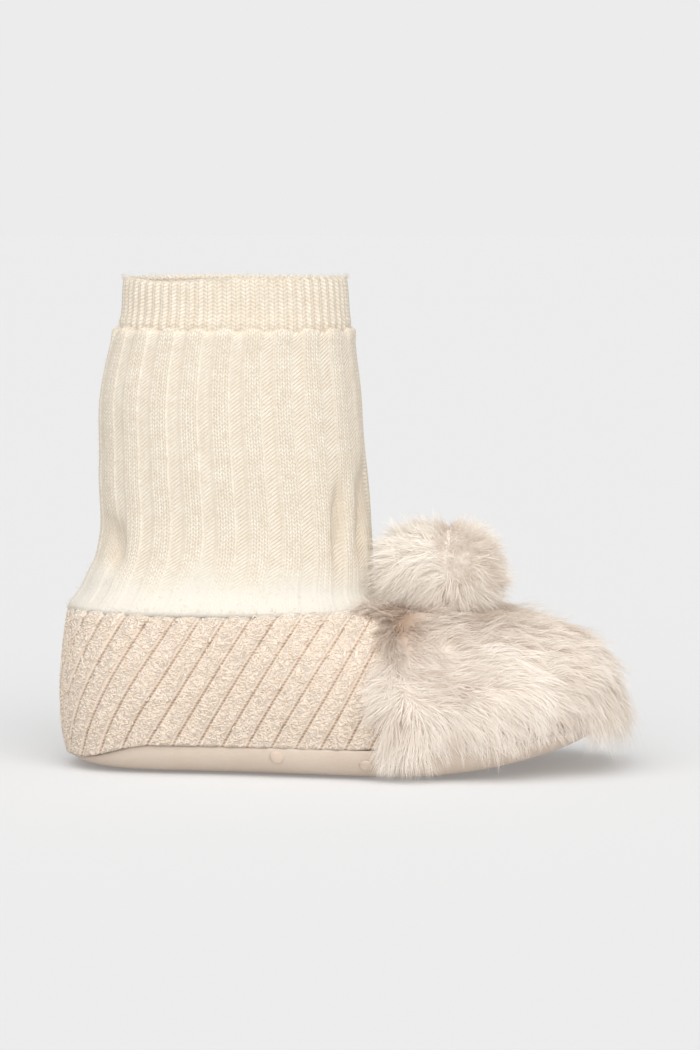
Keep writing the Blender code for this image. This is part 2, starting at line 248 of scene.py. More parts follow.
def sheet(name: str, points: Array, uv: Array, marks: dict[str, Array]) -> bpy.types.Object:
    """Lays a grid primitive over rows of points, welds its touching edges and turns its faces out.

    Args:
        name: Name of the piece.
        points: Places, rows by columns by 3.
        uv: Texture places, rows by columns by 2.
        marks: Numbers to keep as point attributes, each rows by columns.

    Returns:
        The finished object, at the origin.
    """
    rows, columns = points.shape[:2]
    deselect_all()
    bpy.ops.mesh.primitive_grid_add(x_subdivisions=columns - 1, y_subdivisions=rows - 1, size=1.0)
    made = bpy.context.object
    made.name = made.data.name = name
    mesh = made.data
    mesh.vertices.foreach_set("co", points.reshape(-1).astype(np.float32))
    corners = np.empty(len(mesh.loops), np.int32)
    mesh.loops.foreach_get("vertex_index", corners)
    mesh.uv_layers[0].uv.foreach_set("vector", uv.reshape(-1, 2)[corners].reshape(-1).astype(np.float32))
    keep_marks(mesh, marks)
    bpy.ops.object.mode_set(mode="EDIT")
    bpy.ops.mesh.select_all(action="SELECT")
    bpy.ops.mesh.remove_doubles(threshold=WELD_DISTANCE)
    bpy.ops.mesh.select_all(action="SELECT")
    bpy.ops.mesh.normals_make_consistent(inside=False)
    bpy.ops.object.mode_set(mode="OBJECT")
    bpy.ops.object.shade_smooth()
    return made


def strands(
    name: str, paths: Array, radii: Array, facing: Array, section: StrandSection, marks: dict[str, Array]
) -> bpy.types.Object:
    """Joins thousands of thin closed tubes into one mesh.

    Args:
        name: Name of the piece.
        paths: Places along each strand from root to tip, strands by steps by 3.
        radii: Half width at each place but the tip, strands by steps less one.
        facing: Which way the back of each strand is turned, strands by 3.
        section: Shape across a strand.
        marks: Numbers to keep as point attributes, each strands by steps.

    Returns:
        The finished object, at the origin.
    """
    count, steps = paths.shape[:2]
    rings = steps - 1
    corner = np.array(section.value)
    sides = len(corner)
    along = unit(np.gradient(paths, axis=1))[:, :rings]
    side = unit(np.cross(along, facing[:, None]))
    over = np.cross(side, along)
    spread = side[:, :, None] * corner[:, :1] + over[:, :, None] * corner[:, 1:]
    ring_points = paths[:, :rings, None] + spread * radii[:, :, None, None]
    points = np.concatenate([ring_points.reshape(count, rings * sides, 3), paths[:, -1:]], axis=1)
    tip = rings * sides
    faces = []
    for ring in range(rings - 1):
        for k in range(sides):
            low, after = ring * sides + k, ring * sides + (k + 1) % sides
            faces.append((low, after, after + sides, low + sides))
    last_ring = (rings - 1) * sides
    faces += [(last_ring + k, last_ring + (k + 1) % sides, tip) for k in range(sides)]
    faces.append(tuple(range(sides - 1, -1, -1)))
    pattern = np.array([index for face in faces for index in face])
    corners = (pattern[None, :] + (np.arange(count) * (tip + 1))[:, None]).reshape(-1)
    totals = np.tile([len(face) for face in faces], count)
    starts = np.concatenate([[0], np.cumsum(totals)[:-1]])

    mesh = bpy.data.meshes.new(name)
    mesh.vertices.add(points.shape[0] * points.shape[1])
    mesh.vertices.foreach_set("co", points.reshape(-1).astype(np.float32))
    mesh.loops.add(len(corners))
    mesh.loops.foreach_set("vertex_index", corners.astype(np.int32))
    mesh.polygons.add(len(totals))
    mesh.polygons.foreach_set("loop_start", starts.astype(np.int32))
    mesh.polygons.foreach_set("loop_total", totals.astype(np.int32))
    for mark, values in marks.items():
        on_rings = np.repeat(values[:, :rings], sides, axis=1)
        keep_marks(mesh, {mark: np.concatenate([on_rings, values[:, -1:]], axis=1)})
    mesh.update(calc_edges=True)
    if section is StrandSection.ROUND_BACK:
        mesh.shade_smooth()
    else:
        mesh.shade_flat()
    return link(name, mesh)


def nearest_lock(roots: Array, locks: int, draw: np.random.Generator) -> Array:
    """Sorts strands into locks by their nearest among some of the roots.

    Args:
        roots: Places of the roots, strands by 3.
        locks: How many locks there are.
        draw: Source of random numbers.

    Returns:
        The number of each strand's lock.
    """
    middles = roots[draw.choice(len(roots), locks, replace=False)]
    nearest = np.empty(len(roots), int)
    for start in range(0, len(roots), LOCK_BATCH):
        batch = slice(start, start + LOCK_BATCH)
        nearest[batch] = np.linalg.norm(roots[batch, None] - middles[None], axis=-1).argmin(axis=1)
    return nearest


def clump(paths: Array, lock: Array, pull: float) -> Array:
    """Draws the strands of each lock together, more towards their tips.

    Args:
        paths: Strands by steps by 3.
        lock: The number of each strand's lock.
        pull: Share of the way that a tip moves to its lock's own tip.

    Returns:
        The moved paths.
    """
    total = np.zeros((lock.max() + 1, *paths.shape[1:]))
    np.add.at(total, lock, paths)
    middle = total / np.bincount(lock)[:, None, None]
    share = np.linspace(0.0, 1.0, paths.shape[1]) ** 1.4
    return paths + (middle[lock] - paths) * (pull * share)[None, :, None]


class Graph:
    """A hand on one node tree: adds nodes, fills their inputs with numbers or links."""

    def __init__(self, tree: bpy.types.NodeTree) -> None:
        """Keeps the tree."""
        self.tree = tree

    def add(self, kind: str, inputs: dict[str, object] | None = None, **settings: object) -> bpy.types.Node:
        """Adds one node.

        Args:
            kind: Blender's name for the node's type.
            inputs: A number, colour or output socket for each named input.
            **settings: Properties of the node itself.

        Returns:
            The node.
        """
        node = self.tree.nodes.new(kind)
        for key, value in settings.items():
            setattr(node, key, value)
        for key, value in (inputs or {}).items():
            self.fill(node.inputs[key], value)
        return node

    def fill(self, socket: bpy.types.NodeSocket, value: object) -> None:
        """Links a socket to an output, or sets its value.

        Args:
            socket: The input to fill.
            value: A number, colour or output socket.
        """
        if isinstance(value, bpy.types.NodeSocket):
            self.tree.links.new(value, socket)
        else:
            socket.default_value = value

    def math(self, operation: str, *values: object) -> bpy.types.NodeSocket:
        """Adds a Math node.

        Args:
            operation: Name of the operation.
            *values: Its one to three inputs, as numbers or sockets.

        Returns:
            The result's socket.
        """
        node = self.add("ShaderNodeMath", operation=operation)
        for socket, value in zip(node.inputs, values):
            self.fill(socket, value)
        return node.outputs[0]

    def mark(self, name: str) -> bpy.types.NodeSocket:
        """Reads one of the piece's own point attributes as a number."""
        return self.add("ShaderNodeAttribute", attribute_name=name).outputs["Fac"]

    def blend(self, share: object, first: object, second: object) -> bpy.types.NodeSocket:
        """Mixes two colours.

        Args:
            share: How much of the second shows.
            first: Colour or socket.
            second: Colour or socket.

        Returns:
            The mixed colour's socket.
        """
        node = self.add("ShaderNodeMix", data_type="RGBA")
        self.fill(node.inputs[0], share)
        self.fill(node.inputs[6], (*first, 1.0) if isinstance(first, tuple) else first)
        self.fill(node.inputs[7], (*second, 1.0) if isinstance(second, tuple) else second)
        return node.outputs[2]

    def ease(self, value: object, low: float, high: float) -> bpy.types.NodeSocket:
        """Maps a range of numbers smoothly to 0 and 1."""
        limits = {"Value": value, "From Min": low, "From Max": high}
        return self.add("ShaderNodeMapRange", limits, interpolation_type="SMOOTHSTEP").outputs["Result"]


class NodeGroups:
    """Effects that several finishes share, each built once as a node group."""

    def __init__(self) -> None:
        """Builds the groups."""
        self.tone = self.build_tone()
        self.fuzz = self.build_fuzz()
        self.stitch = self.build_stitch()

    @staticmethod
    def start(
        name: str, inputs: dict[str, str], outputs: dict[str, str]
    ) -> tuple[bpy.types.NodeTree, Graph, dict[str, bpy.types.NodeSocket]]:
        """Starts a node group.

        Args:
            name: Name of the group.
            inputs: Socket type for each input's name.
            outputs: Socket type for each output's name.

        Returns:
            The group, a hand on it, and its input sockets by name.
        """
        group = bpy.data.node_groups.new(name, "ShaderNodeTree")
        for label, kind in inputs.items():
            group.interface.new_socket(label, in_out="INPUT", socket_type=kind)
        for label, kind in outputs.items():
            group.interface.new_socket(label, in_out="OUTPUT", socket_type=kind)
        graph = Graph(group)
        entry = graph.add("NodeGroupInput")
        return group, graph, {socket.name: socket for socket in entry.outputs if socket.name}

    def build_tone(self) -> bpy.types.NodeTree:
        """Cloudy variation between two tones, as dyed fibre has.

        Returns:
            The group.
        """
        inputs = {
            "Vector": "NodeSocketVector", "Scale": "NodeSocketFloat",
            "Pale": "NodeSocketColor", "Deep": "NodeSocketColor",
        }
        group, graph, sockets = self.start("fibre_tone", inputs, {"Colour": "NodeSocketColor"})
        cloud = graph.add(
            "ShaderNodeTexNoise", {"Vector": sockets["Vector"], "Scale": sockets["Scale"], "Detail": 5.0}
        )
        share = graph.ease(cloud.outputs["Fac"], 0.34, 0.66)
        colour = graph.blend(share, sockets["Pale"], sockets["Deep"])
        graph.add("NodeGroupOutput", {"Colour": colour})
        return group

    def build_fuzz(self) -> bpy.types.NodeTree:
        """Fine fibre relief.

        Returns:
            The group.
        """
        inputs = {"Vector": "NodeSocketVector", "Scale": "NodeSocketFloat"}
        group, graph, sockets = self.start("fibre_fuzz", inputs, {"Height": "NodeSocketFloat"})
        grain = graph.add("ShaderNodeTexNoise", {**sockets, "Detail": 6.0, "Roughness": 0.7})
        graph.add("NodeGroupOutput", {"Height": grain.outputs["Fac"]})
        return group

    def build_stitch(self) -> bpy.types.NodeTree:
        """Relief of knitted stitches: V-shaped legs on the face, slanted rungs in the purl columns.

        Returns:
            The group.
        """
        inputs = {"Stitches": "NodeSocketVector", "Purl": "NodeSocketFloat"}
        group, graph, sockets = self.start("knit_stitch", inputs, {"Height": "NodeSocketFloat"})
        split = graph.add("ShaderNodeSeparateXYZ", {"Vector": sockets["Stitches"]})
        wale, course = split.outputs["X"], split.outputs["Y"]
        across = graph.math("SUBTRACT", graph.math("FRACT", wale), 0.5)
        away = graph.math("ABSOLUTE", across)

        def rounded(place: bpy.types.NodeSocket) -> bpy.types.NodeSocket:
            """A round bar across each whole step of place."""
            centred = graph.math("MULTIPLY_ADD", graph.math("FRACT", place), 2.0, -1.0)
            return graph.math("SQRT", graph.math("SUBTRACT", 1.0, graph.math("MULTIPLY", centred, centred)))

        leg = rounded(graph.math("MULTIPLY_ADD", away, -1.5, course))
        beside = graph.math("MULTIPLY_ADD", away, 4.0, -1.0)
        width = graph.math("SUBTRACT", 1.0, graph.math("MULTIPLY", beside, beside))
        face = graph.math("MULTIPLY", leg, graph.math("MULTIPLY_ADD", width, 0.75, 0.25))
        rung = graph.math("MULTIPLY_ADD", rounded(graph.math("MULTIPLY_ADD", wale, -1.0, course)), 0.7, 0.15)
        height = graph.add("ShaderNodeMix", data_type="FLOAT")
        for index, value in ((0, sockets["Purl"]), (2, face), (3, rung)):
            graph.fill(height.inputs[index], value)
        graph.add("NodeGroupOutput", {"Height": height.outputs[0]})
        return group


class Surface(Graph):
    """A hand on one material: its nodes, its Principled shader and the shared effects."""

    def __init__(self, material: bpy.types.Material, groups: NodeGroups) -> None:
        """Turns the material's nodes on and keeps what it needs.

        Args:
            material: The material.
            groups: The shared node groups.
        """
        material.use_nodes = True
        super().__init__(material.node_tree)
        self.shader = material.node_tree.nodes["Principled BSDF"]
        self.groups = groups

    def assign(self, values: dict[str, object]) -> None:
        """Fills inputs of the shader with numbers, colours or sockets."""
        for key, value in values.items():
            self.fill(self.shader.inputs[key], value)

    def place(self) -> bpy.types.NodeSocket:
        """The piece's Object coordinates."""
        return self.add("ShaderNodeTexCoord").outputs["Object"]

    def uv(self) -> bpy.types.NodeSocket:
        """The piece's UV coordinates."""
        return self.add("ShaderNodeUVMap").outputs["UV"]

    def effect(self, group: bpy.types.NodeTree, inputs: dict[str, object]) -> bpy.types.NodeSocket:
        """Adds a shared effect with its inputs, and gives the socket of its result."""
        return self.add("ShaderNodeGroup", inputs, node_tree=group).outputs[0]

    def tone(self, scale: float, pale: Colour, deep: Colour) -> bpy.types.NodeSocket:
        """Clouds of two tones over the piece, as many a metre as scale says."""
        colours = {"Pale": (*pale, 1.0), "Deep": (*deep, 1.0)}
        return self.effect(self.groups.tone, {"Vector": self.place(), "Scale": scale, **colours})

    def fuzz(self, scale: float) -> bpy.types.NodeSocket:
        """Height of a fine grain over the piece, as many grains a metre as scale says."""
        return self.effect(self.groups.fuzz, {"Vector": self.place(), "Scale": scale})

    def bump(self, height: bpy.types.NodeSocket, depth: float) -> None:
        """Turns a height between 0 and 1 into relief of a real depth, in metres."""
        node = self.add("ShaderNodeBump", {"Height": height, "Distance": depth, "Strength": 1.0})
        self.assign({"Normal": node.outputs["Normal"]})


class Finish:
    """Base of the finishes: a material of one Principled shader in two cloudy tones, with a fine grain."""

    name: str
    pale: Colour
    deep: Colour
    cloud: float
    grain: float
    depth: float
    roughness: float
    specular: float = 0.18
    sheen: float = 0.0
    sheen_roughness: float = 0.5

    def material(self, groups: NodeGroups) -> bpy.types.Material:
        """Builds the material.

        Args:
            groups: The shared node groups.

        Returns:
            The material.
        """
        material = bpy.data.materials.new(self.name)
        surface = Surface(material, groups)
        surface.assign({"Roughness": self.roughness, "Specular IOR Level": self.specular})
        surface.assign({"Sheen Weight": self.sheen, "Sheen Roughness": self.sheen_roughness})
        self.paint(surface)
        return material

    def paint(self, surface: Surface) -> None:
        """Adds colour and relief; a finish with more to show has its own."""
        surface.assign({"Base Color": surface.tone(self.cloud, self.pale, self.deep)})
        surface.bump(surface.fuzz(self.grain), self.depth)


@dataclass(frozen=True)
class KnitFinish(Finish):
    """Cream cotton yarn, knitted."""

    name: str = "cream_knit"
    pale: Colour = (0.850, 0.792, 0.692)
    deep: Colour = (0.802, 0.728, 0.615)
    # groove: the warm tan of the painted shade between stitches and in the ribs' hollows and folds, and of the
    # yarn's darker specks
    groove: Colour = (0.55, 0.44, 0.315)
    # soft: a darker copy of the yarn colour for the brushed foot, painted shade that offsets the light on its
    # upward-facing flare
    soft: Colour = (0.684, 0.650, 0.580)
    cloud: float = 420.0
    grain: float = 2600.0
    depth: float = 0.00026
    # glow: painted glow, the knit emits a little of its own colour, lightening its shade
    glow: float = 0.06
    roughness: float = 0.9
    sheen: float = 0.12
    sheen_roughness: float = 0.6
    hollow_shade: float = 0.48
    stitch_shade: float = 0.80
    speck_shade: float = 0.60
    brushed_flat: float = 0.75

    def paint(self, surface: Surface) -> None:
        """Raises the stitches and paints shade between them and in the ribs' hollows and folds, with the
        yarn's darker specks; where the knit is brushed, stitches and shade are softer and the yarn takes a
        darker copy of its colour, painted shade for the upward-facing flare.

        Args:
            surface: Hand on the material.
        """
        math_node = surface.math
        fuzz = surface.fuzz(self.grain)
        purl, brushed = surface.mark("purl"), surface.mark("brushed")
        crisp = math_node("SUBTRACT", 1.0, math_node("MULTIPLY", brushed, self.brushed_flat))
        height = surface.effect(surface.groups.stitch, {"Stitches": surface.uv(), "Purl": purl})
        # Painted shade, darker in the ribs' hollows and folds and between the stitches; the specks are the
        # yarn's own tone.
        hollow = math_node("MULTIPLY", surface.mark("hollow"), self.hollow_shade)
        stitch_gap_shade = math_node("MULTIPLY", surface.ease(height, 0.85, 0.10), self.stitch_shade)
        speck = math_node("MULTIPLY", surface.ease(fuzz, 0.48, 0.60), self.speck_shade)
        darkest = math_node("MAXIMUM", math_node("MAXIMUM", hollow, stitch_gap_shade), speck)
        # Where the knit is brushed the yarn takes its darker copy, painted shade for the upward-facing flare.
        yarn = surface.blend(brushed, surface.tone(self.cloud, self.pale, self.deep), self.soft)
        colour = surface.blend(math_node("MULTIPLY", darkest, crisp), yarn, self.groove)
        # Painted glow: the colour is also emitted.
        surface.assign({"Base Color": colour, "Emission Color": colour, "Emission Strength": self.glow})
        standing = math_node("MULTIPLY", height, math_node("MULTIPLY_ADD", purl, 0.30, 0.50))
        relief = math_node("MULTIPLY", math_node("MULTIPLY_ADD", fuzz, 0.35, standing), crisp)
        surface.bump(relief, self.depth)


@dataclass(frozen=True)
class CorduroyFinish(Finish):
    """Pink-beige corduroy: its cloth, with a dotted line of painted shade in each groove, or its curly pile.
    """

    part: CorduroyPart = CorduroyPart.CLOTH
    name: str = "pink_beige_corduroy"
    pale: Colour = (0.832, 0.718, 0.602)
    deep: Colour = (0.786, 0.658, 0.537)
    # groove: colour of the painted shade in and beside the grooves and between the curls; the dots in each
    # groove line are the cloth's own weave
    groove: Colour = (0.42, 0.30, 0.22)
    # Painted light: the cream that the colour turns to towards the top edge, hiding the shade in the crease
    # under the sock.
    painted_light_edge: Colour = (0.800, 0.715, 0.615)
    cloud: float = 700.0
    grain: float = 2200.0
    curl: float = 1000.0
    depth: float = 0.00012
    roughness: float = 0.95
    sheen: float = 0.2

    def paint(self, surface: Surface) -> None:
        """Colours the corduroy, with painted shade in the cloth's hollows and grooves and between the curls,
        and painted light towards its top edge.

        Args:
            surface: Hand on the material.
        """
        math_node = surface.math
        # Painted shade on the cloth, darker towards the grooves; on the pile this mark is a random darker tone
        # for each curl.
        hollow = surface.mark("hollow")
        relief = surface.fuzz(self.grain)
        if self.part is CorduroyPart.CLOTH:
            split = surface.add("ShaderNodeSeparateXYZ", {"Vector": surface.uv()})
            aside = math_node("PINGPONG", split.outputs["X"], 0.5)
            dots = surface.ease(math_node("PINGPONG", split.outputs["Y"], 0.5), 0.0, 0.45)
            # The groove line: painted shade along each groove, dotted like the cloth's own weave.
            line = surface.ease(aside, 0.095, 0.025)
            line = math_node("MULTIPLY", line, math_node("MULTIPLY_ADD", dots, 0.6, 0.4))
            noise = {"Vector": surface.place(), "Scale": self.curl, "Detail": 2.0, "Distortion": 1.6}
            curl = surface.add("ShaderNodeTexNoise", noise).outputs["Fac"]
            # Painted shade between the raised curls.
            crowded = surface.ease(aside, 0.08, 0.20)
            raised = math_node("MULTIPLY", surface.ease(curl, 0.40, 0.60), crowded)
            between = math_node("MULTIPLY", math_node("SUBTRACT", crowded, raised), 0.20)
            hollow = math_node("MAXIMUM", math_node("MAXIMUM", hollow, line), between)
            relief = math_node("MULTIPLY_ADD", raised, 2.0, relief)
        # Painted light: towards the top edge the colour turns to cream and the painted shade is taken out.
        painted_light = surface.mark("painted_light_edge")
        hollow = math_node("MULTIPLY", hollow, math_node("SUBTRACT", 1.0, painted_light))
        colour = surface.blend(painted_light, surface.tone(self.cloud, self.pale, self.deep), self.painted_light_edge)
        surface.assign({"Base Color": surface.blend(hollow, colour, self.groove)})
        surface.bump(relief, self.depth)


@dataclass(frozen=True)
class FurFinish(Finish):
    """Pale beige long-pile fur."""

    name: str = "pale_beige_fur"
    pale: Colour = (0.846, 0.793, 0.724)
    # deep: the deeper tone, for random tone and for painted shade
    deep: Colour = (0.655, 0.540, 0.450)
    # root: colour of the painted shade at the roots of the hair
    root: Colour = (0.695, 0.600, 0.520)
    # parting: brown painted shade where the hair parts and the painted shadow under the pompom
    shaded_parting: Colour = (0.310, 0.205, 0.138)
    roughness: float = 0.75
    sheen: float = 0.15
    sheen_roughness: float = 0.4
    # glow: painted glow, the fur emits a little of its own colour in place of light scattered among the hairs
    glow: float = 0.10
    tint_shade: float = 0.8
    root_shade: float = 0.6

    def paint(self, surface: Surface) -> None:
        """Colours each hair by its random tone and painted shade, with painted shade towards its root and
        brown painted shade where the hair parts and under the pompom.

        Args:
            surface: Hand on the material.
        """
        # Each hair's share of the deeper tone: random tone and painted shade.
        tint_and_shade = surface.math("MULTIPLY", surface.mark("hue"), self.tint_shade)
        # Painted shade towards each hair's root.
        painted_root_shade = surface.math("MULTIPLY", surface.ease(surface.mark("along"), 0.45, 0.0), self.root_shade)
        colour = surface.blend(painted_root_shade, surface.blend(tint_and_shade, self.pale, self.deep), self.root)
        # Brown painted shade where the hair parts and under the pompom.
        colour = surface.blend(surface.mark("parting_shade"), colour, self.shaded_parting)
        # Painted glow: the colour is also emitted.
        surface.assign({"Base Color": colour, "Emission Color": colour, "Emission Strength": self.glow})


@dataclass(frozen=True)
class SoftFabricFinish(Finish):
    """Smooth brushed jersey, for sole, insole and lining."""

    name: str
    pale: Colour
    deep: Colour
    cloud: float = 60.0
    grain: float = 1900.0
    depth: float = 0.00012
    roughness: float = 0.85
    sheen: float = 0.15


@dataclass(frozen=True)
class GripFinish(Finish):
    """Clear-brown anti-slip dots of soft rubber."""

    name: str = "grip_dot_rubber"
    pale: Colour = (0.66, 0.545, 0.44)
    deep: Colour = (0.61, 0.495, 0.395)
    cloud: float = 400.0
    grain: float = 900.0
    depth: float = 0.00006
    roughness: float = 0.6


@dataclass(frozen=True)
class FloorFinish(Finish):
    """Plain pale studio floor."""

    name: str = "studio_floor"
    pale: Colour = (0.600, 0.600, 0.600)
    glow: Colour = (0.172, 0.172, 0.172)
    roughness: float = 0.9
    specular: float = 0.0

    def paint(self, surface: Surface) -> None:
        """Lays one even colour and glow."""
        surface.assign({"Base Color": (*self.pale, 1.0), "Emission Color": (*self.glow, 1.0)})
        surface.assign({"Emission Strength": 1.0})


@dataclass(frozen=True)
class Last:
    """The foot form that upper, corduroy and fur lie on, measured from the back of its feather line."""

    origin_x: float
    sole_length: float = 0.1176
    heel_half_width: float = 0.0222
    heel_round: float = 0.0240
    ball_half_width: float = 0.0278
    ball_x: float = 0.0800
    heel_squareness: float = 2.2
    toe_squareness: float = 2.3
    seam_heel: float = 0.0032
    seam_middle: float = 0.0070
    seam_toe: float = 0.0042
    seam_rise_from: float = 0.003
    seam_rise_to: float = 0.020
    toe_spring: float = 0.0085
    toe_spring_from: float = 0.074
    toe_spring_curve: float = 1.8
    topline_height: float = 0.0349
    topline_back: float = 0.0003
    topline_front: float = 0.0666
    topline_half_width: float = 0.0205
    topline_squareness: float = 2.4
    topline_crowding: float = 4.0
    dome_squareness: float = 2.6
    dome_starts: float = 0.058
    dome_full: float = 0.096
    side_bulge: float = 0.0015
    bulge_lowered: float = 0.75
    fur_seam_bottom: float = 0.0716
    fur_seam_top: float = 0.0652
    fur_seam_bends: float = 0.80
    step: float = 0.004

    @cached_property
    def outline(self) -> tuple[Array, Array, Array, float]:
        """Fractions of the perimeter, x and y of the feather line there, and the perimeter's length.

        Returns:
            The three arrays and the length.
        """
        turn = np.linspace(0.0, math.pi / 2, 160)
        heel_x = self.heel_round * (1.0 - np.cos(turn) ** (2.0 / self.heel_squareness))
        heel_y = self.heel_half_width * np.sin(turn) ** (2.0 / self.heel_squareness)
        side_x = np.linspace(self.heel_round, self.ball_x, 160)
        widening = smooth_step(side_x, self.heel_round, self.ball_x)
        side_y = self.heel_half_width + (self.ball_half_width - self.heel_half_width) * widening
        toe_x = self.ball_x + (self.sole_length - self.ball_x) * np.sin(turn) ** (2.0 / self.toe_squareness)
        toe_y = self.ball_half_width * np.clip(np.cos(turn), 0.0, 1.0) ** (2.0 / self.toe_squareness)
        half_x = np.concatenate([heel_x, side_x[1:], toe_x[1:]])
        half_y = np.concatenate([heel_y, side_y[1:], toe_y[1:]])
        x = np.concatenate([half_x, half_x[-2::-1]])
        y = np.concatenate([-half_y, half_y[-2::-1]])
        length = np.concatenate([[0.0], np.cumsum(np.hypot(np.diff(x), np.diff(y)))])
        return length / length[-1], x, y, float(length[-1])

    @property
    def perimeter(self) -> float:
        """Length of the feather line."""
        return self.outline[3]

    def feather(self, s: Array) -> tuple[Array, Array]:
        """x and y of the feather line at fractions of the perimeter."""
        share, x, y, _ = self.outline
        return np.interp(np.mod(s, 1.0), share, x), np.interp(np.mod(s, 1.0), share, y)

    def outward(self, s: Array) -> tuple[Array, Array]:
        """x and y of the unit vector that points out of the feather line.

        Args:
            s: Fractions of the perimeter.

        Returns:
            The vectors' x and y.
        """
        ahead_x, ahead_y = self.feather(s + self.step)
        back_x, back_y = self.feather(s - self.step)
        length = np.hypot(ahead_x - back_x, ahead_y - back_y)
        return (ahead_y - back_y) / length, -(ahead_x - back_x) / length

    def spring(self, x: Array) -> Array:
        """Lift of the sole off the floor at x."""
        t = np.clip((x - self.toe_spring_from) / (self.sole_length - self.toe_spring_from), 0.0, None)
        return self.toe_spring * t**self.toe_spring_curve

    def seam_height(self, x: Array) -> Array:
        """Height of the seam between sole and upper.

        Args:
            x: Along the foot.

        Returns:
            One height a place.
        """
        rise = (self.seam_middle - self.seam_heel) * smooth_step(x, self.seam_rise_from, self.seam_rise_to)
        fall = (self.seam_middle - self.seam_toe) * smooth_step(x, self.ball_x, self.sole_length)
        return self.seam_heel + rise - fall + self.spring(x)

    def topline(self, x: Array, y: Array) -> tuple[Array, Array]:
        """x and y of the topline's point above a point of the feather line.

        Args:
            x: Along the foot.
            y: Across the foot.

        Returns:
            The topline's x and y.
        """
        centre = (self.topline_back + self.topline_front) / 2
        reach = (self.topline_front - self.topline_back) / 2

        def crowded(t: Array) -> Array:
            """Slows a run of places down towards 1."""
            return t / (1.0 + t**self.topline_crowding) ** (1.0 / self.topline_crowding)

        ahead = crowded(np.clip(x - centre, 0.0, None) / reach) / crowded((self.sole_length - centre) / reach)
        share = np.clip(np.where(x < centre, (x - centre) / centre, ahead), -1.0, 1.0)
        width = (1.0 - np.abs(share) ** self.topline_squareness) ** (1.0 / self.topline_squareness)
        return centre + reach * share, np.sign(y) * self.topline_half_width * width

    def surface(self, s: Array, v: Array) -> Array:
        """Points of the last.

        Args:
            s: Fractions of the perimeter, from the back of the heel along -Y.
            v: Shares of the way from the feather line to the topline.

        Returns:
            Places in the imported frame, along a new last axis.
        """
        s, v = np.broadcast_arrays(np.asarray(s, float), np.asarray(v, float))
        x, y = self.feather(s)
        top_x, top_y = self.topline(x, y)
        bottom = self.seam_height(x)
        inside = np.clip(v, 0.0, 1.0)
        turn = inside * math.pi / 2
        dome = smooth_step(x, self.dome_starts, self.dome_full)
        power = 2.0 / self.dome_squareness
        rise = (1.0 - dome) * v + dome * np.sin(turn) ** power
        lean = (1.0 - dome) * np.clip(v, 0.0, None) ** 3
        lean = lean + dome * (1.0 - np.clip(np.cos(turn), 0.0, 1.0) ** power)
        out = self.side_bulge * np.sin(np.pi * inside**self.bulge_lowered)
        out_x, out_y = self.outward(s)
        px = x + (top_x - x) * lean + out * out_x - self.origin_x
        py = y + (top_y - y) * lean + out * out_y
        pz = bottom + (self.topline_height - bottom) * rise
        return np.stack([px, py, pz], axis=-1)

    def sides(self, s: Array, v: Array, step: float) -> tuple[Array, Array]:
        """Two sides of a small patch of the last: forward round the foot and up the wall.

        Args:
            s: Fractions of the perimeter.
            v: Shares of the way up.
            step: How far the patch reaches each way, in s and in v.

        Returns:
            The two sets of vectors.
        """
        along = self.surface(s + step, v) - self.surface(s - step, v)
        above, below = np.clip(v + step, 0.0, 1.0), np.clip(v - step, 0.0, 1.0)
        return along, self.surface(s, above) - self.surface(s, below)

    def frame(self, s: Array, v: Array) -> tuple[Array, Array, Array]:
        """Unit vectors forward round the foot, up the wall and out of it.

        Args:
            s: Fractions of the perimeter.
            v: Shares of the way up.

        Returns:
            The three sets of vectors.
        """
        s, v = np.broadcast_arrays(np.asarray(s, float), np.asarray(v, float))
        along, up = self.sides(s, v, self.step)
        out = unit(np.cross(along, up))
        along = unit(along)
        return along, np.cross(out, along), out

    def offset(self, s: Array, v: Array, distance: Array) -> Array:
        """Points of the last moved out by a distance."""
        return self.surface(s, v) + self.frame(s, v)[2] * np.asarray(distance, float)[..., None]

    def seam_x(self, v: Array) -> Array:
        """How far forward corduroy meets fur at shares v of the way up: steep, then slanting back."""
        slant = smooth_step(v, self.fur_seam_bends, 1.0)
        return self.fur_seam_bottom + (self.fur_seam_top - self.fur_seam_bottom) * slant

    def fur_seam(self, v: Array) -> Array:
        """Fraction of the perimeter on the -Y side where corduroy meets fur.

        Args:
            v: Shares of the way up, in one row.

        Returns:
            One fraction a share.
        """
        s = np.linspace(0.0, 0.5, 200)
        found = []
        for share in np.atleast_1d(v):
            row = self.surface(s, np.full_like(s, share))[:, 0]
            found.append(np.interp(self.seam_x(share) - self.origin_x, row, s))
        return np.array(found)

    def seam_at(self, v: Array) -> Array:
        """The same fraction of the perimeter, quickly, for shares of any shape."""
        shares = np.linspace(0.0, 1.0, 41)
        return np.interp(v, shares, self.fur_seam(shares))

    def into_fur(self, s: Array, v: Array) -> Array:
        """Distance from the nearer of the two seams into the fur."""
        seam = self.seam_at(v)
        return np.minimum(s - seam, 1.0 - seam - s) * self.perimeter


@dataclass(frozen=True)
class Fold:
    """A soft trough in the knit: where it runs and how deep it is."""

    x: float
    side: float
    low: float
    high: float
    width: float
    depth: float
    lean: float = 0.0


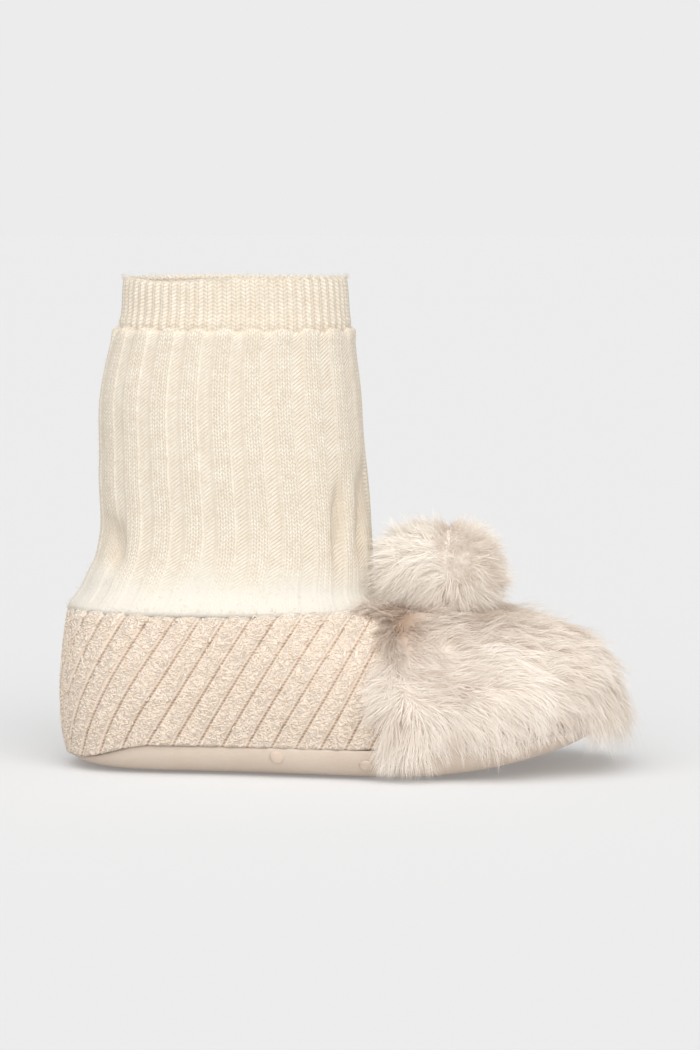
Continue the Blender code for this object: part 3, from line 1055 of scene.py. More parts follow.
@dataclass
class Sock:
    """The rib-knit sock with its fine-rib cuff."""

    last: Last
    finish: KnitFinish
    rib_repeats: int = 22
    knit_wales: int = 4
    purl_wales: int = 2
    columns_per_wale: int = 4
    rib_phase: float = 0.86
    rib_depth: float = 0.00018
    wale_depth: float = 0.00014
    course: float = 0.00085
    squareness: float = 2.25
    wall: float = 0.0015
    foot: float = 0.0346
    lap: float = 0.0015
    lap_from: float = 0.0004
    lap_to: float = 0.0050
    shaft_top: float = 0.0966
    shaft_rows: int = 56
    inner_rows: int = 14
    unevenness: float = 0.0003
    tuck: float = 0.0009
    puff: float = 0.0003
    puff_at: float = 0.0952
    puff_spread: float = 0.0011
    scallop: float = 0.0005
    scallop_from: float = 0.092
    fold_shade: float = 1500.0
    brushed_below: float = 0.0385
    crisp_above: float = 0.0475
    cuff_seam: float = 0.0977
    cuff_bottom: float = 0.0958
    cuff_top: float = 0.1077
    cuff_ribs: int = 64
    cuff_columns_per_rib: int = 6
    cuff_rib_depth: float = 0.00045
    cuff_rows: int = 20
    cuff_round: float = 0.0009
    cuff_inside: float = 0.004
    cuff_sunk: float = 0.0003
    cuff_swell: float = 0.0004
    cuff_sag: float = 0.0010
    cuff_sag_at: float = 0.13
    cuff_sag_spread: float = 0.07
    fibres: int = 3200
    fibre_radius: float = 0.000034
    fibre_length: tuple[float, float] = (0.0008, 0.0021)
    fibre_brushed: float = 0.8
    top_fibres_from: float = 0.106
    fibre_zones: tuple[tuple[float, float, float], ...] = (
        (0.0360, 0.0960, 0.35),
        (0.0346, 0.0356, 0.22),
        (0.0355, 0.0450, 0.15),
        (0.0945, 0.0985, 0.12),
        (0.1067, 0.1075, 0.16),
    )
    seed: int = 3
    sections: tuple[tuple[float, float, float, float], ...] = (
        (0.0346, 0.0003, 0.0666, 0.0205),
        (0.0380, 0.0014, 0.0665, 0.0194),
        (0.0412, 0.0027, 0.0665, 0.0184),
        (0.0458, 0.0050, 0.0664, 0.0177),
        (0.0505, 0.0060, 0.0661, 0.0175),
        (0.0656, 0.0059, 0.0649, 0.0182),
        (0.0810, 0.0061, 0.0635, 0.0186),
        (0.0900, 0.0079, 0.0625, 0.0183),
        (0.0957, 0.0097, 0.0619, 0.0178),
        (0.0977, 0.0106, 0.0613, 0.0170),
        (0.1080, 0.0114, 0.0605, 0.0165),
    )
    folds: tuple[Fold, ...] = (
        Fold(0.0600, -1.0, 0.041, 0.067, 0.0012, 0.0009, 0.03),
        Fold(0.0645, -1.0, 0.043, 0.072, 0.0009, 0.0009, 0.02),
        Fold(0.0105, -1.0, 0.042, 0.058, 0.0022, 0.0009, -0.10),
        Fold(0.0590, 1.0, 0.042, 0.066, 0.0030, 0.0003, 0.03),
        Fold(0.0120, 1.0, 0.042, 0.060, 0.0034, 0.0003, -0.08),
    )

    @cached_property
    def turns(self) -> tuple[Array, Array]:
        """Even shares of the way round and the angle at each, so that ribs are equally wide.

        Returns:
            Shares and angles, finely spaced.
        """
        angle = np.linspace(0.0, 2.0 * math.pi, 4001)
        back, front, half = (np.interp(0.07, *self.column(k)) for k in (1, 2, 3))
        x, y = self.oval(angle)
        length = np.hypot(np.diff(x * (front - back) / 2), np.diff(y * half))
        run = np.concatenate([[0.0], np.cumsum(length)])
        return run / run[-1], angle

    def column(self, k: int) -> tuple[Array, Array]:
        """Heights and one column of the sections."""
        table = np.array(self.sections)
        return table[:, 0], table[:, k]

    def oval(self, angle: Array) -> tuple[Array, Array]:
        """x and y of the unit oval, from its back along -Y."""
        ways = np.stack([np.cos(angle), np.sin(angle)])
        return tuple(-np.sign(ways) * np.abs(ways) ** (2.0 / self.squareness))

    def size(self, z: Array, k: int) -> Array:
        """One column of the sections at heights z, on a smooth curve.

        Args:
            z: Heights.
            k: Number of the column.

        Returns:
            One size a height.
        """
        heights, values = self.column(k)
        slopes = np.gradient(values, heights)
        at = np.clip(np.searchsorted(heights, z) - 1, 0, len(heights) - 2)
        span = heights[at + 1] - heights[at]
        t = np.clip((z - heights[at]) / span, 0.0, 1.0)
        start = (1 + 2 * t) * (1 - t) ** 2 * values[at] + t * (1 - t) ** 2 * span * slopes[at]
        return start + t * t * (3 - 2 * t) * values[at + 1] + t * t * (t - 1) * span * slopes[at + 1]

    def wall_points(self, share: Array, z: Array, out: Array) -> Array:
        """Points of the tube.

        Args:
            share: Shares of the way round.
            z: Heights.
            out: Distance out of the tube's own surface.

        Returns:
            Places along a new last axis.
        """
        angle = np.interp(np.mod(share, 1.0), *self.turns)
        x, y = self.oval(angle)
        back, front, half = (self.size(z, k) for k in (1, 2, 3))
        px = (back + front) / 2 + x * ((front - back) / 2 + out) - self.last.origin_x
        return np.stack([px, y * (half + out), z], axis=-1)

    def lap_at(self, z: Array) -> Array:
        """How far the foot of the sock spreads over the corduroy's top edge at heights z."""
        return (1.0 - smooth_step(z, self.foot + self.lap_from, self.foot + self.lap_to)) * self.lap

    def fold_depth(self, share: Array, z: Array) -> Array:
        """How far the folds press the tube in.

        Args:
            share: Shares of the way round.
            z: Heights.

        Returns:
            Depths, in metres.
        """
        points = self.wall_points(share, z, np.zeros_like(z))
        x = points[..., 0] + self.last.origin_x
        depth = np.zeros_like(z)
        for fold in self.folds:
            middle = (fold.low + fold.high) / 2
            near = np.exp(-(((x - fold.x - fold.lean * (z - middle)) / fold.width) ** 2))
            run = smooth_step(z, fold.low, middle) * (1.0 - smooth_step(z, middle, fold.high))
            depth += fold.depth * near * run * 2.0 * (np.sign(points[..., 1]) == fold.side)
        return depth

    def build_shaft(self) -> bpy.types.Object:
        """Knits the shaft: broad ribs with their wales, drawn in by the folds.

        Returns:
            The piece.
        """
        wales = self.knit_wales + self.purl_wales
        columns = self.rib_repeats * wales * self.columns_per_wale
        share = np.arange(columns + 1) / columns
        run = share * self.rib_repeats + self.rib_phase
        place = np.mod(run, 1.0)
        edge = self.knit_wales / wales
        raised = smooth_step(place, 0.0, 0.12) * (1.0 - smooth_step(place, edge - 0.10, edge + 0.04))
        ripple = np.abs(np.sin(np.pi * np.mod(place * wales, 1.0))) ** 0.7
        outer_z = np.linspace(self.foot, self.shaft_top, self.shaft_rows)
        inner_z = np.linspace(self.shaft_top - 0.0006, self.foot, self.inner_rows)
        height = np.concatenate([outer_z, inner_z, outer_z[:1]])
        outside = np.repeat([1.0, 0.0, 1.0], [self.shaft_rows, self.inner_rows, 1])[:, None]
        z, across = np.meshgrid(height, share, indexing="ij")
        full = smooth_step(z, self.foot, self.foot + 0.004)
        tucked = smooth_step(z, self.shaft_top - 0.0008, self.shaft_top) * self.tuck
        puff = np.exp(-(((z - self.puff_at) / self.puff_spread) ** 2)) * self.puff
        folds = self.fold_depth(across, z)
        probe = self.wall_points(across, z, np.zeros_like(z))
        out = self.rib_depth * (raised - 1.0) * full + self.wale_depth * ripple * raised
        out = out + puff * (0.4 + raised) + self.unevenness * value_noise(probe, 0.012, 3)
        out = np.where(outside > 0, out - tucked - folds + self.lap_at(z), -self.wall)
        points = self.wall_points(across, z, out)
        wavy = self.scallop * np.cos(2.0 * np.pi * (place - edge / 2))
        points[..., 2] += wavy * smooth_step(z, self.scallop_from, self.shaft_top) * outside
        uv = np.stack([np.broadcast_to(run * wales, z.shape), z / self.course], axis=-1)
        purl = np.broadcast_to(1.0 - raised, z.shape) * outside
        # Painted shade: darker in the purl columns, along a line at one edge of each purl column, and in the
        # folds.
        beside = np.exp(-(((place - 0.02 + 0.5) % 1.0 - 0.5) / 0.05) ** 2)
        hollow = (1.0 - raised) * 0.55 + 0.4 * beside + self.fold_shade * folds
        ragged = z + 0.002 * value_noise(probe, 0.006, 4)
        # Marks the brushed foot, whose yarn also takes the darker copy of its colour, painted shade for the
        # flare.
        brushed = 1.0 - smooth_step(ragged, self.brushed_below, self.crisp_above)
        marks = {"purl": purl, "hollow": np.clip(hollow, 0.0, 1.0), "brushed": brushed}
        return sheet(KnitPart.SHAFT.value, points, uv, marks)

    def build_cuff(self) -> bpy.types.Object:
        """Knits the cuff: fine ribs outside, folded over the top and down inside.

        Returns:
            The piece.
        """
        columns = self.cuff_ribs * self.cuff_columns_per_rib
        share = np.arange(columns + 1) / columns
        raised = 0.5 + 0.5 * np.cos(2.0 * np.pi * share * self.cuff_ribs)
        shoulder = self.cuff_top - self.cuff_round
        outer = np.linspace(self.cuff_bottom, shoulder, self.cuff_rows)
        inner = np.linspace(shoulder, self.cuff_bottom - self.cuff_inside, self.inner_rows)
        turn = np.linspace(0.0, math.pi, 9)[1:-1]
        flat = np.ones_like(inner)
        height = np.concatenate([outer, shoulder + self.cuff_round * np.sin(turn), inner, outer[:1]])
        over = np.concatenate([0.0 * outer, np.cos(turn) - 1, -2.0 * flat, [0.0]]) * self.cuff_round
        ribbed = np.concatenate([np.ones_like(outer), np.cos(turn / 2), 0.3 * flat, [1.0]])
        z, across = np.meshgrid(height, share, indexing="ij")
        out = over[:, None] + self.cuff_rib_depth * (raised - 0.5) * ribbed[:, None] - self.cuff_sunk
        up = np.clip((z - self.cuff_bottom) / (self.cuff_top - self.cuff_bottom), 0, 1)
        swell = self.cuff_swell * np.sin(np.pi * up)
        points = self.wall_points(across, np.maximum(z, self.cuff_seam), out + swell)
        from_sag = (across - self.cuff_sag_at + 0.5) % 1.0 - 0.5
        sag = self.cuff_sag * np.exp(-((from_sag / self.cuff_sag_spread) ** 2))
        level = smooth_step(z, self.cuff_bottom, self.cuff_top)
        points[..., 2] = z + (0.0003 * value_noise(points * [1, 1, 0], 0.016, 8) - sag) * level
        uv = np.stack([np.broadcast_to(share * self.cuff_ribs + 0.5, z.shape), z / self.course], axis=-1)
        nothing = np.zeros_like(z)
        # Painted shade in the hollows between the cuff's ribs.
        hollow = np.broadcast_to((1.0 - raised) * 0.5, z.shape)
        marks = {"purl": nothing, "hollow": hollow, "brushed": nothing}
        return sheet(KnitPart.CUFF.value, points, uv, marks)

    def build_fuzz(self) -> bpy.types.Object:
        """Strews loose fibres over the knit, most at its flare, its seam and its top edge.

        Returns:
            The piece.
        """
        draw = np.random.default_rng(self.seed)
        counts = [int(self.fibres * part) for _, _, part in self.fibre_zones]
        zones = zip(self.fibre_zones, counts)
        z = np.concatenate([draw.uniform(low, high, many) for (low, high, _), many in zones])
        count = len(z)
        share = draw.uniform(0.0, 1.0, count)
        size_z = np.where(z > self.cuff_bottom, np.maximum(z, self.cuff_seam), z)
        base = self.wall_points(share, size_z, self.lap_at(z))
        out = unit((self.wall_points(share, size_z, self.lap_at(z) + 0.001) - base) * [1, 1, 0])
        base[:, 2] = z
        up = np.array([0.0, 0.0, 1.0])
        turn = draw.uniform(0.0, 2.0 * math.pi, (count, 1))
        flat = np.cross(out, up) * np.cos(turn) + up * np.sin(turn)
        at_top = z > self.top_fibres_from
        flat[at_top, 2] = np.abs(flat[at_top, 2])
        length = draw.uniform(*self.fibre_length, (count, 1))
        middle = base + flat * length * 0.5 + out * draw.uniform(0.0001, 0.0005, (count, 1))
        heading = unit(flat + draw.normal(0.0, 0.4, flat.shape))
        tip = base + heading * length + out * draw.uniform(0.0, 0.0006, (count, 1))
        tip[:, 2] = np.minimum(tip[:, 2], self.cuff_top + 0.0010)
        paths = np.stack([base - out * 0.0003, middle, tip], axis=1)
        radii = self.fibre_radius * draw.uniform(0.7, 1.3, (count, 1)) * np.array([[1.0, 0.8]])
        # The loose fibres take mostly the brushed yarn colour, with its painted shade.
        marks = {"brushed": np.full((count, 3), self.fibre_brushed)}
        return strands(KnitPart.FUZZ.value, paths, radii, out, StrandSection.FLAT_BACK, marks)

    def build(self, groups: NodeGroups) -> list[bpy.types.Object]:
        """Knits and dresses shaft and cuff, with the loose fibres on them.

        Args:
            groups: The shared node groups.

        Returns:
            The three pieces.
        """
        pieces = [self.build_shaft(), self.build_cuff(), self.build_fuzz()]
        material = self.finish.material(groups)
        for piece in pieces:
            dress(piece, material, "sock_shaft")
        return pieces


@dataclass
class Corduroy:
    """The corduroy quarter: a strip with leaning wales and a curly pile."""

    last: Last
    finish: CorduroyFinish
    pitch: float = 0.00555
    lean: float = 0.0178
    side_from: float = 0.15
    side_stretch: float = 1.03
    phase: float = 0.0544
    clear: float = 0.0003
    thickness: float = 0.0012
    relief: float = 0.0011
    roll_from: float = 0.93
    bottom: float = 0.012
    strip_height: float = 0.035
    under_fur: float = 0.006
    tuck: float = 0.0024
    nub: float = 0.00008
    back_clear: float = 0.0001
    groove_shade: float = 0.35
    # Painted light at the cloth's top edge: how strong, and from how far up.
    painted_light_strength: float = 0.85
    fade_from: float = 0.92
    columns: int = 430
    rows: int = 58
    groove_dot: float = 0.00075
    curls: int = 7500
    curl_tries: int = 4
    curl_zone: tuple[float, float] = (0.03, 0.965)
    curl_seam_gap: float = 0.002
    curl_length: float = 0.00112
    curl_radius: float = 0.00021
    seed: int = 21

    def wale(self, s: Array, v: Array) -> Array:
        """Which wale a place is on: the whole part counts wales and the rest runs across one.

        Args:
            s: Fractions of the perimeter.
            v: Shares of the way up.

        Returns:
            One number a place.
        """
        side = np.full_like(s, self.side_from)
        ahead = self.last.surface(s, v)[..., 0] - self.last.surface(side, v)[..., 0]
        straight = side * self.last.perimeter + self.side_stretch * ahead
        run = np.where(s > side, straight, s * self.last.perimeter)
        return (run - v * self.lean - self.phase) / self.pitch

    def crown(self, s: Array, v: Array) -> Array:
        """Height of a wale's round back between its grooves, from 0 to 1."""
        across = np.mod(self.wale(s, v), 1.0)
        return np.clip(1.0 - np.abs(2.0 * across - 1.0) ** 4.5, 0.0, 1.0) ** 0.7

    def height(self, s: Array, v: Array) -> Array:
        """Distance of the cloth's face from the last.

        Args:
            s: Fractions of the perimeter.
            v: Shares of the way up.

        Returns:
            One distance a place.
        """
        edge = smooth_step(v, 0.0, 0.06)
        face = self.clear + self.thickness - self.relief * (1.0 - self.crown(s, v)) * edge
        rolled = np.clip((v - self.roll_from) / (1.0 - self.roll_from), 0.0, 1.0)
        return face * np.sqrt(1.0 - 0.55 * rolled**2)

    def build_cloth(self) -> bpy.types.Object:
        """Lays the cloth round the heel, turned in at its top edge.

        Returns:
            The piece.
        """
        v_row, on_face = face_and_back(self.bottom, self.rows)
        seam = self.last.fur_seam(v_row)[:, None] + self.under_fur
        s = seam * np.linspace(-1.0, 1.0, self.columns + 1)
        v = np.broadcast_to(v_row[:, None], s.shape)
        bare = self.last.surface(s, v)
        tucked = smooth_step((seam - np.abs(s)) * self.last.perimeter, 0.0, self.tuck)
        out = (self.height(s, v) + self.nub * value_noise(bare, 0.0011, 5)) * (0.2 + 0.8 * tucked)
        out = np.where(on_face, out, self.back_clear)
        points = bare + self.last.frame(s, v)[2] * out[..., None]
        uv = np.stack([self.wale(s, v), v * self.strip_height / self.groove_dot], axis=-1)
        # Painted shade, darker towards each groove.
        hollow = self.groove_shade * np.clip(1.0 - self.crown(s, v) * 1.25, 0.0, 1.0) ** 1.5
        # Painted light towards the ragged top edge.
        ragged = v + 0.02 * value_noise(bare, 0.003, 6)
        painted_light_edge = self.painted_light_strength * smooth_step(ragged, self.fade_from, 1.0)
        return sheet(CorduroyPart.CLOTH.value, points, uv, {"hollow": hollow, "painted_light_edge": painted_light_edge})

    def build_curls(self) -> bpy.types.Object:
        """Strews short curls of pile over the wales, clear of the grooves.

        Returns:
            The piece.
        """
        draw = np.random.default_rng(self.seed)
        tries = self.curls * self.curl_tries
        v = draw.uniform(*self.curl_zone, tries)
        s = draw.uniform(-1.0, 1.0, tries) * (self.last.seam_at(v) - self.curl_seam_gap)
        across = np.mod(self.wale(s, v), 1.0)
        wanted = smooth_step(across, 0.10, 0.18) * (1.0 - 0.75 * smooth_step(across, 0.55, 0.90))
        wanted = wanted * (across < 0.90)
        kept = np.nonzero(draw.uniform(0.0, 1.0, len(s)) < wanted)[0][: self.curls]
        s, v = s[kept], v[kept]
        count = len(s)
        along, up, out = self.last.frame(s, v)
        root = self.last.surface(s, v) + out * self.height(s, v)[:, None]
        heading = draw.normal(0.0, 0.55, count) + np.where(draw.random(count) < 0.5, 0.0, math.pi)
        forward = along * np.cos(heading)[:, None] + up * np.sin(heading)[:, None]
        sideways = np.cross(out, forward)
        length = self.curl_length * draw.uniform(0.7, 1.25, count)
        bend = draw.normal(0.0, 0.6, count)
        steps = np.linspace(0.0, 1.0, 4)
        reach = (steps - 0.5)[None, :, None] * (length[:, None, None] * forward[:, None])
        bow = (np.sin(np.pi * steps)[None, :] * (length * bend)[:, None])[..., None] * sideways[:, None]
        lift = (-0.00016 + 0.00026 * np.sin(np.pi * steps))[None, :, None] * out[:, None]
        paths = root[:, None] + reach + bow * 0.5 + lift
        radii = self.curl_radius * draw.uniform(0.8, 1.2, (count, 1)) * np.array([[0.75, 1.0, 0.85]])
        marks = {"hollow": np.repeat(draw.uniform(0.0, 0.08, (count, 1)), len(steps), axis=1)}
        return strands(CorduroyPart.PILE.value, paths, radii, out, StrandSection.ROUND_BACK, marks)

    def build(self, groups: NodeGroups) -> list[bpy.types.Object]:
        """Makes and dresses the quarter.

        Args:
            groups: The shared node groups.

        Returns:
            The cloth and its pile.
        """
        pieces = [self.build_cloth(), self.build_curls()]
        for piece, part in zip(pieces, CorduroyPart):
            finish = replace(self.finish, part=part)
            dress(piece, finish.material(groups), "corduroy_quarter")
        return pieces


@dataclass(frozen=True)
class ShadedParting:
    """A spot where the fur parts and is painted with brown shade, such as the shadow under the pompom: where
    it is, how wide and how strong.
    """

    x: float
    z: float
    radius: float
    strength: float


@dataclass
class Fur:
    """The fur vamp and the pompom on it."""

    last: Last
    finish: FurFinish
    hide_thickness: float = 0.0015
    hide_bottom: float = 0.02
    hide_rows: int = 52
    hide_columns: int = 170
    behind_seam: float = 0.003
    hide_clear: float = 0.0008
    hide_least: float = 0.0005
    hide_back_clear: float = 0.0003
    root_tries: int = 6
    root_patch: float = 0.003
    root_sunk: float = 0.0004
    edge_raise: float = 0.0013
    tip_droop: float = 0.10
    tip_width: float = 0.45
    pompom_x: float = 0.0812
    pompom_z: float = 0.0440
    pompom_half: tuple[float, float, float] = (0.0156, 0.0150, 0.0119)
    pompom_parting: float = 0.0832
    pompom_parting_width: float = 0.0016
    pompom_core: float = 0.70
    pompom_roots: tuple[float, float] = (0.58, 0.80)
    pompom_spreads: float = 0.009
    floor_clearance: float = 0.0006
    seed: int = 5
    # Spots of brown painted shade where the hair parts; the first two are the painted shadow on either side
    # under the pompom.
    shaded_partings: tuple[ShadedParting, ...] = (
        ShadedParting(0.0738, 0.0322, 0.0054, 0.95),
        ShadedParting(0.0895, 0.0350, 0.0060, 0.6),
        ShadedParting(0.0732, 0.0140, 0.0030, 0.25),
        ShadedParting(0.0860, 0.0085, 0.0032, 0.30),
        ShadedParting(0.1010, 0.0075, 0.0035, 0.30),
        ShadedParting(0.0822, 0.0215, 0.0026, 0.25),
        ShadedParting(0.0878, 0.0190, 0.0024, 0.25),
        ShadedParting(0.1085, 0.0130, 0.0030, 0.20),
    )
    fringe_tufts: tuple[tuple[float, float, float], ...] = (
        (0.0745, 0.0050, 1.0),
        (0.0935, 0.0050, -0.3),
        (0.1045, 0.0065, -0.9),
        (0.1180, 0.0060, 1.8),
    )

    @property
    def pompom_centre(self) -> Array:
        """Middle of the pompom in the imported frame."""
        return np.array([self.pompom_x - self.last.origin_x, 0.0, self.pompom_z])

    def under_pompom(self, points: Array) -> Array:
        """How far places lie under the pompom.

        Args:
            points: Places on the vamp.

        Returns:
            1 right under it, falling to 0 beside it.
        """
        dx = (points[..., 0] - self.pompom_centre[0]) / self.pompom_half[0]
        dy = points[..., 1] / self.pompom_half[1]
        return 1.0 - smooth_step(np.hypot(dx, dy), 0.55, 1.15)

    def parting_shade(self, points: Array) -> Array:
        """How far the hair parts, and how much brown painted shade it gets, at each place, from 0 to 1.

        Args:
            points: Places on the vamp.

        Returns:
            One number a place.
        """
        total = np.zeros(points.shape[:-1])
        for shaded_parting in self.shaded_partings:
            gap = points[..., [0, 2]] - [shaded_parting.x - self.last.origin_x, shaded_parting.z]
            total += shaded_parting.strength * np.exp(-((gap / shaded_parting.radius) ** 2).sum(axis=-1))
        return np.clip(total, 0.0, 1.0)

    def hide_height(self, s: Array, v: Array, bare: Array) -> Array:
        """Distance of the hide's dense pile from the last, thinning to its edges.

        Args:
            s: Fractions of the perimeter.
            v: Shares of the way up.
            bare: The last's points there.

        Returns:
            One distance a place.
        """
        thick = smooth_step(self.last.into_fur(s, v), -0.001, 0.006) * smooth_step(v, -0.05, 0.22)
        thick = thick * (1.0 - 0.6 * self.under_pompom(bare)) * (1.0 - 0.4 * self.parting_shade(bare))
        return self.hide_clear + self.hide_thickness * thick * (1.0 - 0.5 * self.toe_slope(bare, v))

    def toe_slope(self, bare: Array, v: Array) -> Array:
        """1 on the slope from instep to toe, where the hair lies flattest, falling to 0 beside it."""
        x = bare[..., 0] + self.last.origin_x
        return smooth_step(v, 0.30, 0.60) * smooth_step(x, 0.090, 0.102)

    def build_hide(self) -> bpy.types.Object:
        """Lays the dense base of the fur over the toe, in soft tufts.

        Returns:
            The piece.
        """
        v_row, on_face = face_and_back(self.hide_bottom, self.hide_rows)
        seam = self.last.fur_seam(v_row)[:, None] + self.behind_seam
        s = seam + (1.0 - 2.0 * seam) * np.linspace(0.0, 1.0, self.hide_columns + 1)
        v = np.broadcast_to(v_row[:, None], s.shape)
        bare = self.last.surface(s, v)
        tuft = 0.0004 * value_noise(bare * [0.4, 1.0, 1.0], 0.0020, 11)
        tuft = tuft + 0.0005 * value_noise(bare, 0.007, 12)
        out = np.maximum(self.hide_height(s, v, bare) + tuft - 0.0006, self.hide_least)
        out = np.where(on_face, out, self.hide_back_clear)
        points = bare + self.last.frame(s, v)[2] * out[..., None]
        uv = np.stack([s, v], axis=-1)
        parting_shade = self.parting_shade(bare)
        # The hide is painted deep, as shade in the gaps between the hairs, with random tone and brown painted
        # shade where the hair parts.
        hue = np.clip(0.70 + 0.30 * value_noise(bare, 0.005, 13) + parting_shade, 0.0, 1.0)
        deeper = np.clip(0.03 + parting_shade, 0.0, 0.95)
        marks = {"hue": hue, "along": np.full_like(s, 0.5), "parting_shade": deeper}
        return sheet("vamp_fur_hide", points, uv, marks)

    def roots(self, count: int, draw: np.random.Generator) -> tuple[Array, Array]:
        """Spreads hair roots evenly over the vamp.

        Args:
            count: How many.
            draw: Source of random numbers.

        Returns:
            Their fractions of the perimeter and shares of the way up.
        """
        tries = count * self.root_tries
        v = draw.uniform(0.0, 1.0, tries)
        seam = self.last.seam_at(v)
        s = seam + (1.0 - 2.0 * seam) * draw.uniform(0.0, 1.0, tries)
        wide, tall = self.last.sides(s, v, self.root_patch)
        area = np.linalg.norm(np.cross(wide, tall), axis=-1) * (0.5 - seam)
        kept = np.nonzero(draw.uniform(0.0, 1.0, len(area)) < area / np.quantile(area, 0.97))[0][:count]
        return s[kept], v[kept]

    def fringe_roots(self, count: int, draw: np.random.Generator) -> tuple[Array, Array]:
        """Spreads hair roots along the vamp's lower edge and its two side seams.

        Args:
            count: How many.
            draw: Source of random numbers.

        Returns:
            Their fractions of the perimeter and shares of the way up.
        """
        at_seam = draw.random(count) < 0.50
        v = np.where(at_seam, draw.uniform(0.0, 0.98, count) ** 0.85, draw.uniform(0.0, 0.10, count))
        seam = self.last.seam_at(v)
        along = np.where(at_seam, draw.uniform(0.0, 0.022, count), draw.uniform(0.0, 0.5, count))
        along = np.where(draw.random(count) < 0.5, along, 1.0 - along)
        return seam + (1.0 - 2.0 * seam) * along, v

    def flow(self, points: Array, v: Array) -> Array:
        """Which way the hair is brushed: back at the seam, then to the toe, and down at the sole.

        Args:
            points: Places on the vamp.
            v: Shares of the way up.

        Returns:
            Directions.
        """
        x = points[:, 0] + self.last.origin_x
        ragged = 0.0045 * value_noise(points, 0.0035, 37)
        past_seam = x - self.last.seam_x(v)
        middle = smooth_step(v, 0.12, 0.35) * (1.0 - smooth_step(v, 0.50, 0.75))
        back = 0.50 + 0.50 * np.maximum(middle, smooth_step(v, 0.72, 0.85))
        forward = (1.0 + back) * smooth_step(past_seam + ragged, -0.002, 0.0085) - back
        down = 1.0 - smooth_step(v, 0.02, 0.30)
        toe = smooth_step(x, 0.106, 0.116)
        upward = 0.20 - 1.25 * down - 0.35 * smooth_step(x, 0.096, 0.116) - 0.5 * toe * down
        upward = upward - 0.60 * (1.0 - smooth_step(past_seam, 0.002, 0.018))
        ahead = forward * (1.0 - (0.45 + 0.45 * toe) * down)
        sweep = np.stack([ahead, np.zeros(len(points)), upward], axis=-1)
        from_pompom = points - self.pompom_centre
        away = np.exp(-np.linalg.norm(from_pompom[:, :2], axis=-1) / self.pompom_spreads)
        sweep += unit(from_pompom * [1, 1, 0.3]) * (1.2 * away)[:, None]
        for axis in range(3):
            sweep[:, axis] += 0.50 * value_noise(points, 0.010, 31 + axis)
        return unit(sweep)

    def grow(
        self, layer: FurLayer, root: Array, out: Array, heading: Array, scale: Array, tint_and_shade: Array,
        parting_shade: Array, draw: np.random.Generator,
    ) -> bpy.types.Object:
        """Grows one layer of hair in locks.

        Args:
            layer: Which layer, with its style.
            root: Places of the roots.
            out: Which way is out of the pile at each root.
            heading: Which way each hair is brushed.
            scale: Length of each hair as a share of the style's, and its lift likewise, in two rows.
            tint_and_shade: Share of the deeper tone of each hair, random tone together with painted shade.
            parting_shade: How far each root stands where the hair parts, which is painted with brown shade.
            draw: Source of random numbers.

        Returns:
            The piece.
        """
        style = layer.value
        count = len(root)
        locks = count // style.lock
        lock = nearest_lock(root, locks, draw)
        heading = heading + draw.normal(0.0, style.lock_stray, (locks, 3))[lock]
        heading = unit(heading + draw.normal(0.0, style.hair_stray, (count, 3)))
        length = draw.uniform(style.shortest, style.longest, count)
        length = length * draw.uniform(0.75, 1.15, locks)[lock] * scale[0]
        lift = draw.uniform(*style.lift, locks)[lock] * draw.uniform(0.75, 1.25, count) * scale[1]
        steps = np.linspace(0.0, 1.0, style.steps)
        rise = lift[:, None] * (steps - 0.45 * steps**2)[None, :]
        reach = heading[:, None] * (0.94 * steps**1.1)[None, :, None] + out[:, None] * rise[..., None]
        paths = root[:, None] + length[:, None, None] * reach
        paths[..., 2] -= (length[:, None] * self.tip_droop) * steps[None, :] ** 2
        wave = draw.normal(0.0, style.wave, (count, 1, 3)) * np.sin(np.pi * steps * 1.5)[None, :, None]
        paths = clump(paths + wave, lock, style.pull)
        paths[..., 2] = np.maximum(paths[..., 2], self.floor_clearance)
        taper = np.linspace(1.0, self.tip_width, style.steps - 1)[None, :]
        radii = style.half_width * draw.uniform(0.75, 1.25, (count, 1)) * taper
        tint_and_shade = np.clip(tint_and_shade + draw.normal(0.0, 0.09, locks)[lock] + draw.normal(0.0, 0.08, count), 0.0, 1.0)
        # Painted shade at the roots: the finish darkens each hair towards its root by this share of the way
        # along.
        shown = style.root_shows + (1.0 - style.root_shows) * steps
        marks = {
            "hue": np.repeat(tint_and_shade[:, None], style.steps, axis=1),
            "along": np.broadcast_to(shown, (count, style.steps)),
            # Brown painted shade where the hair parts, strongest at the root.
            "parting_shade": parting_shade[:, None] * np.linspace(0.80, 0.45, style.steps)[None, :],
        }
        facing = unit(out + draw.normal(0.0, 0.25, out.shape))
        return strands(style.name, paths, radii, facing, StrandSection.FLAT_BACK, marks)

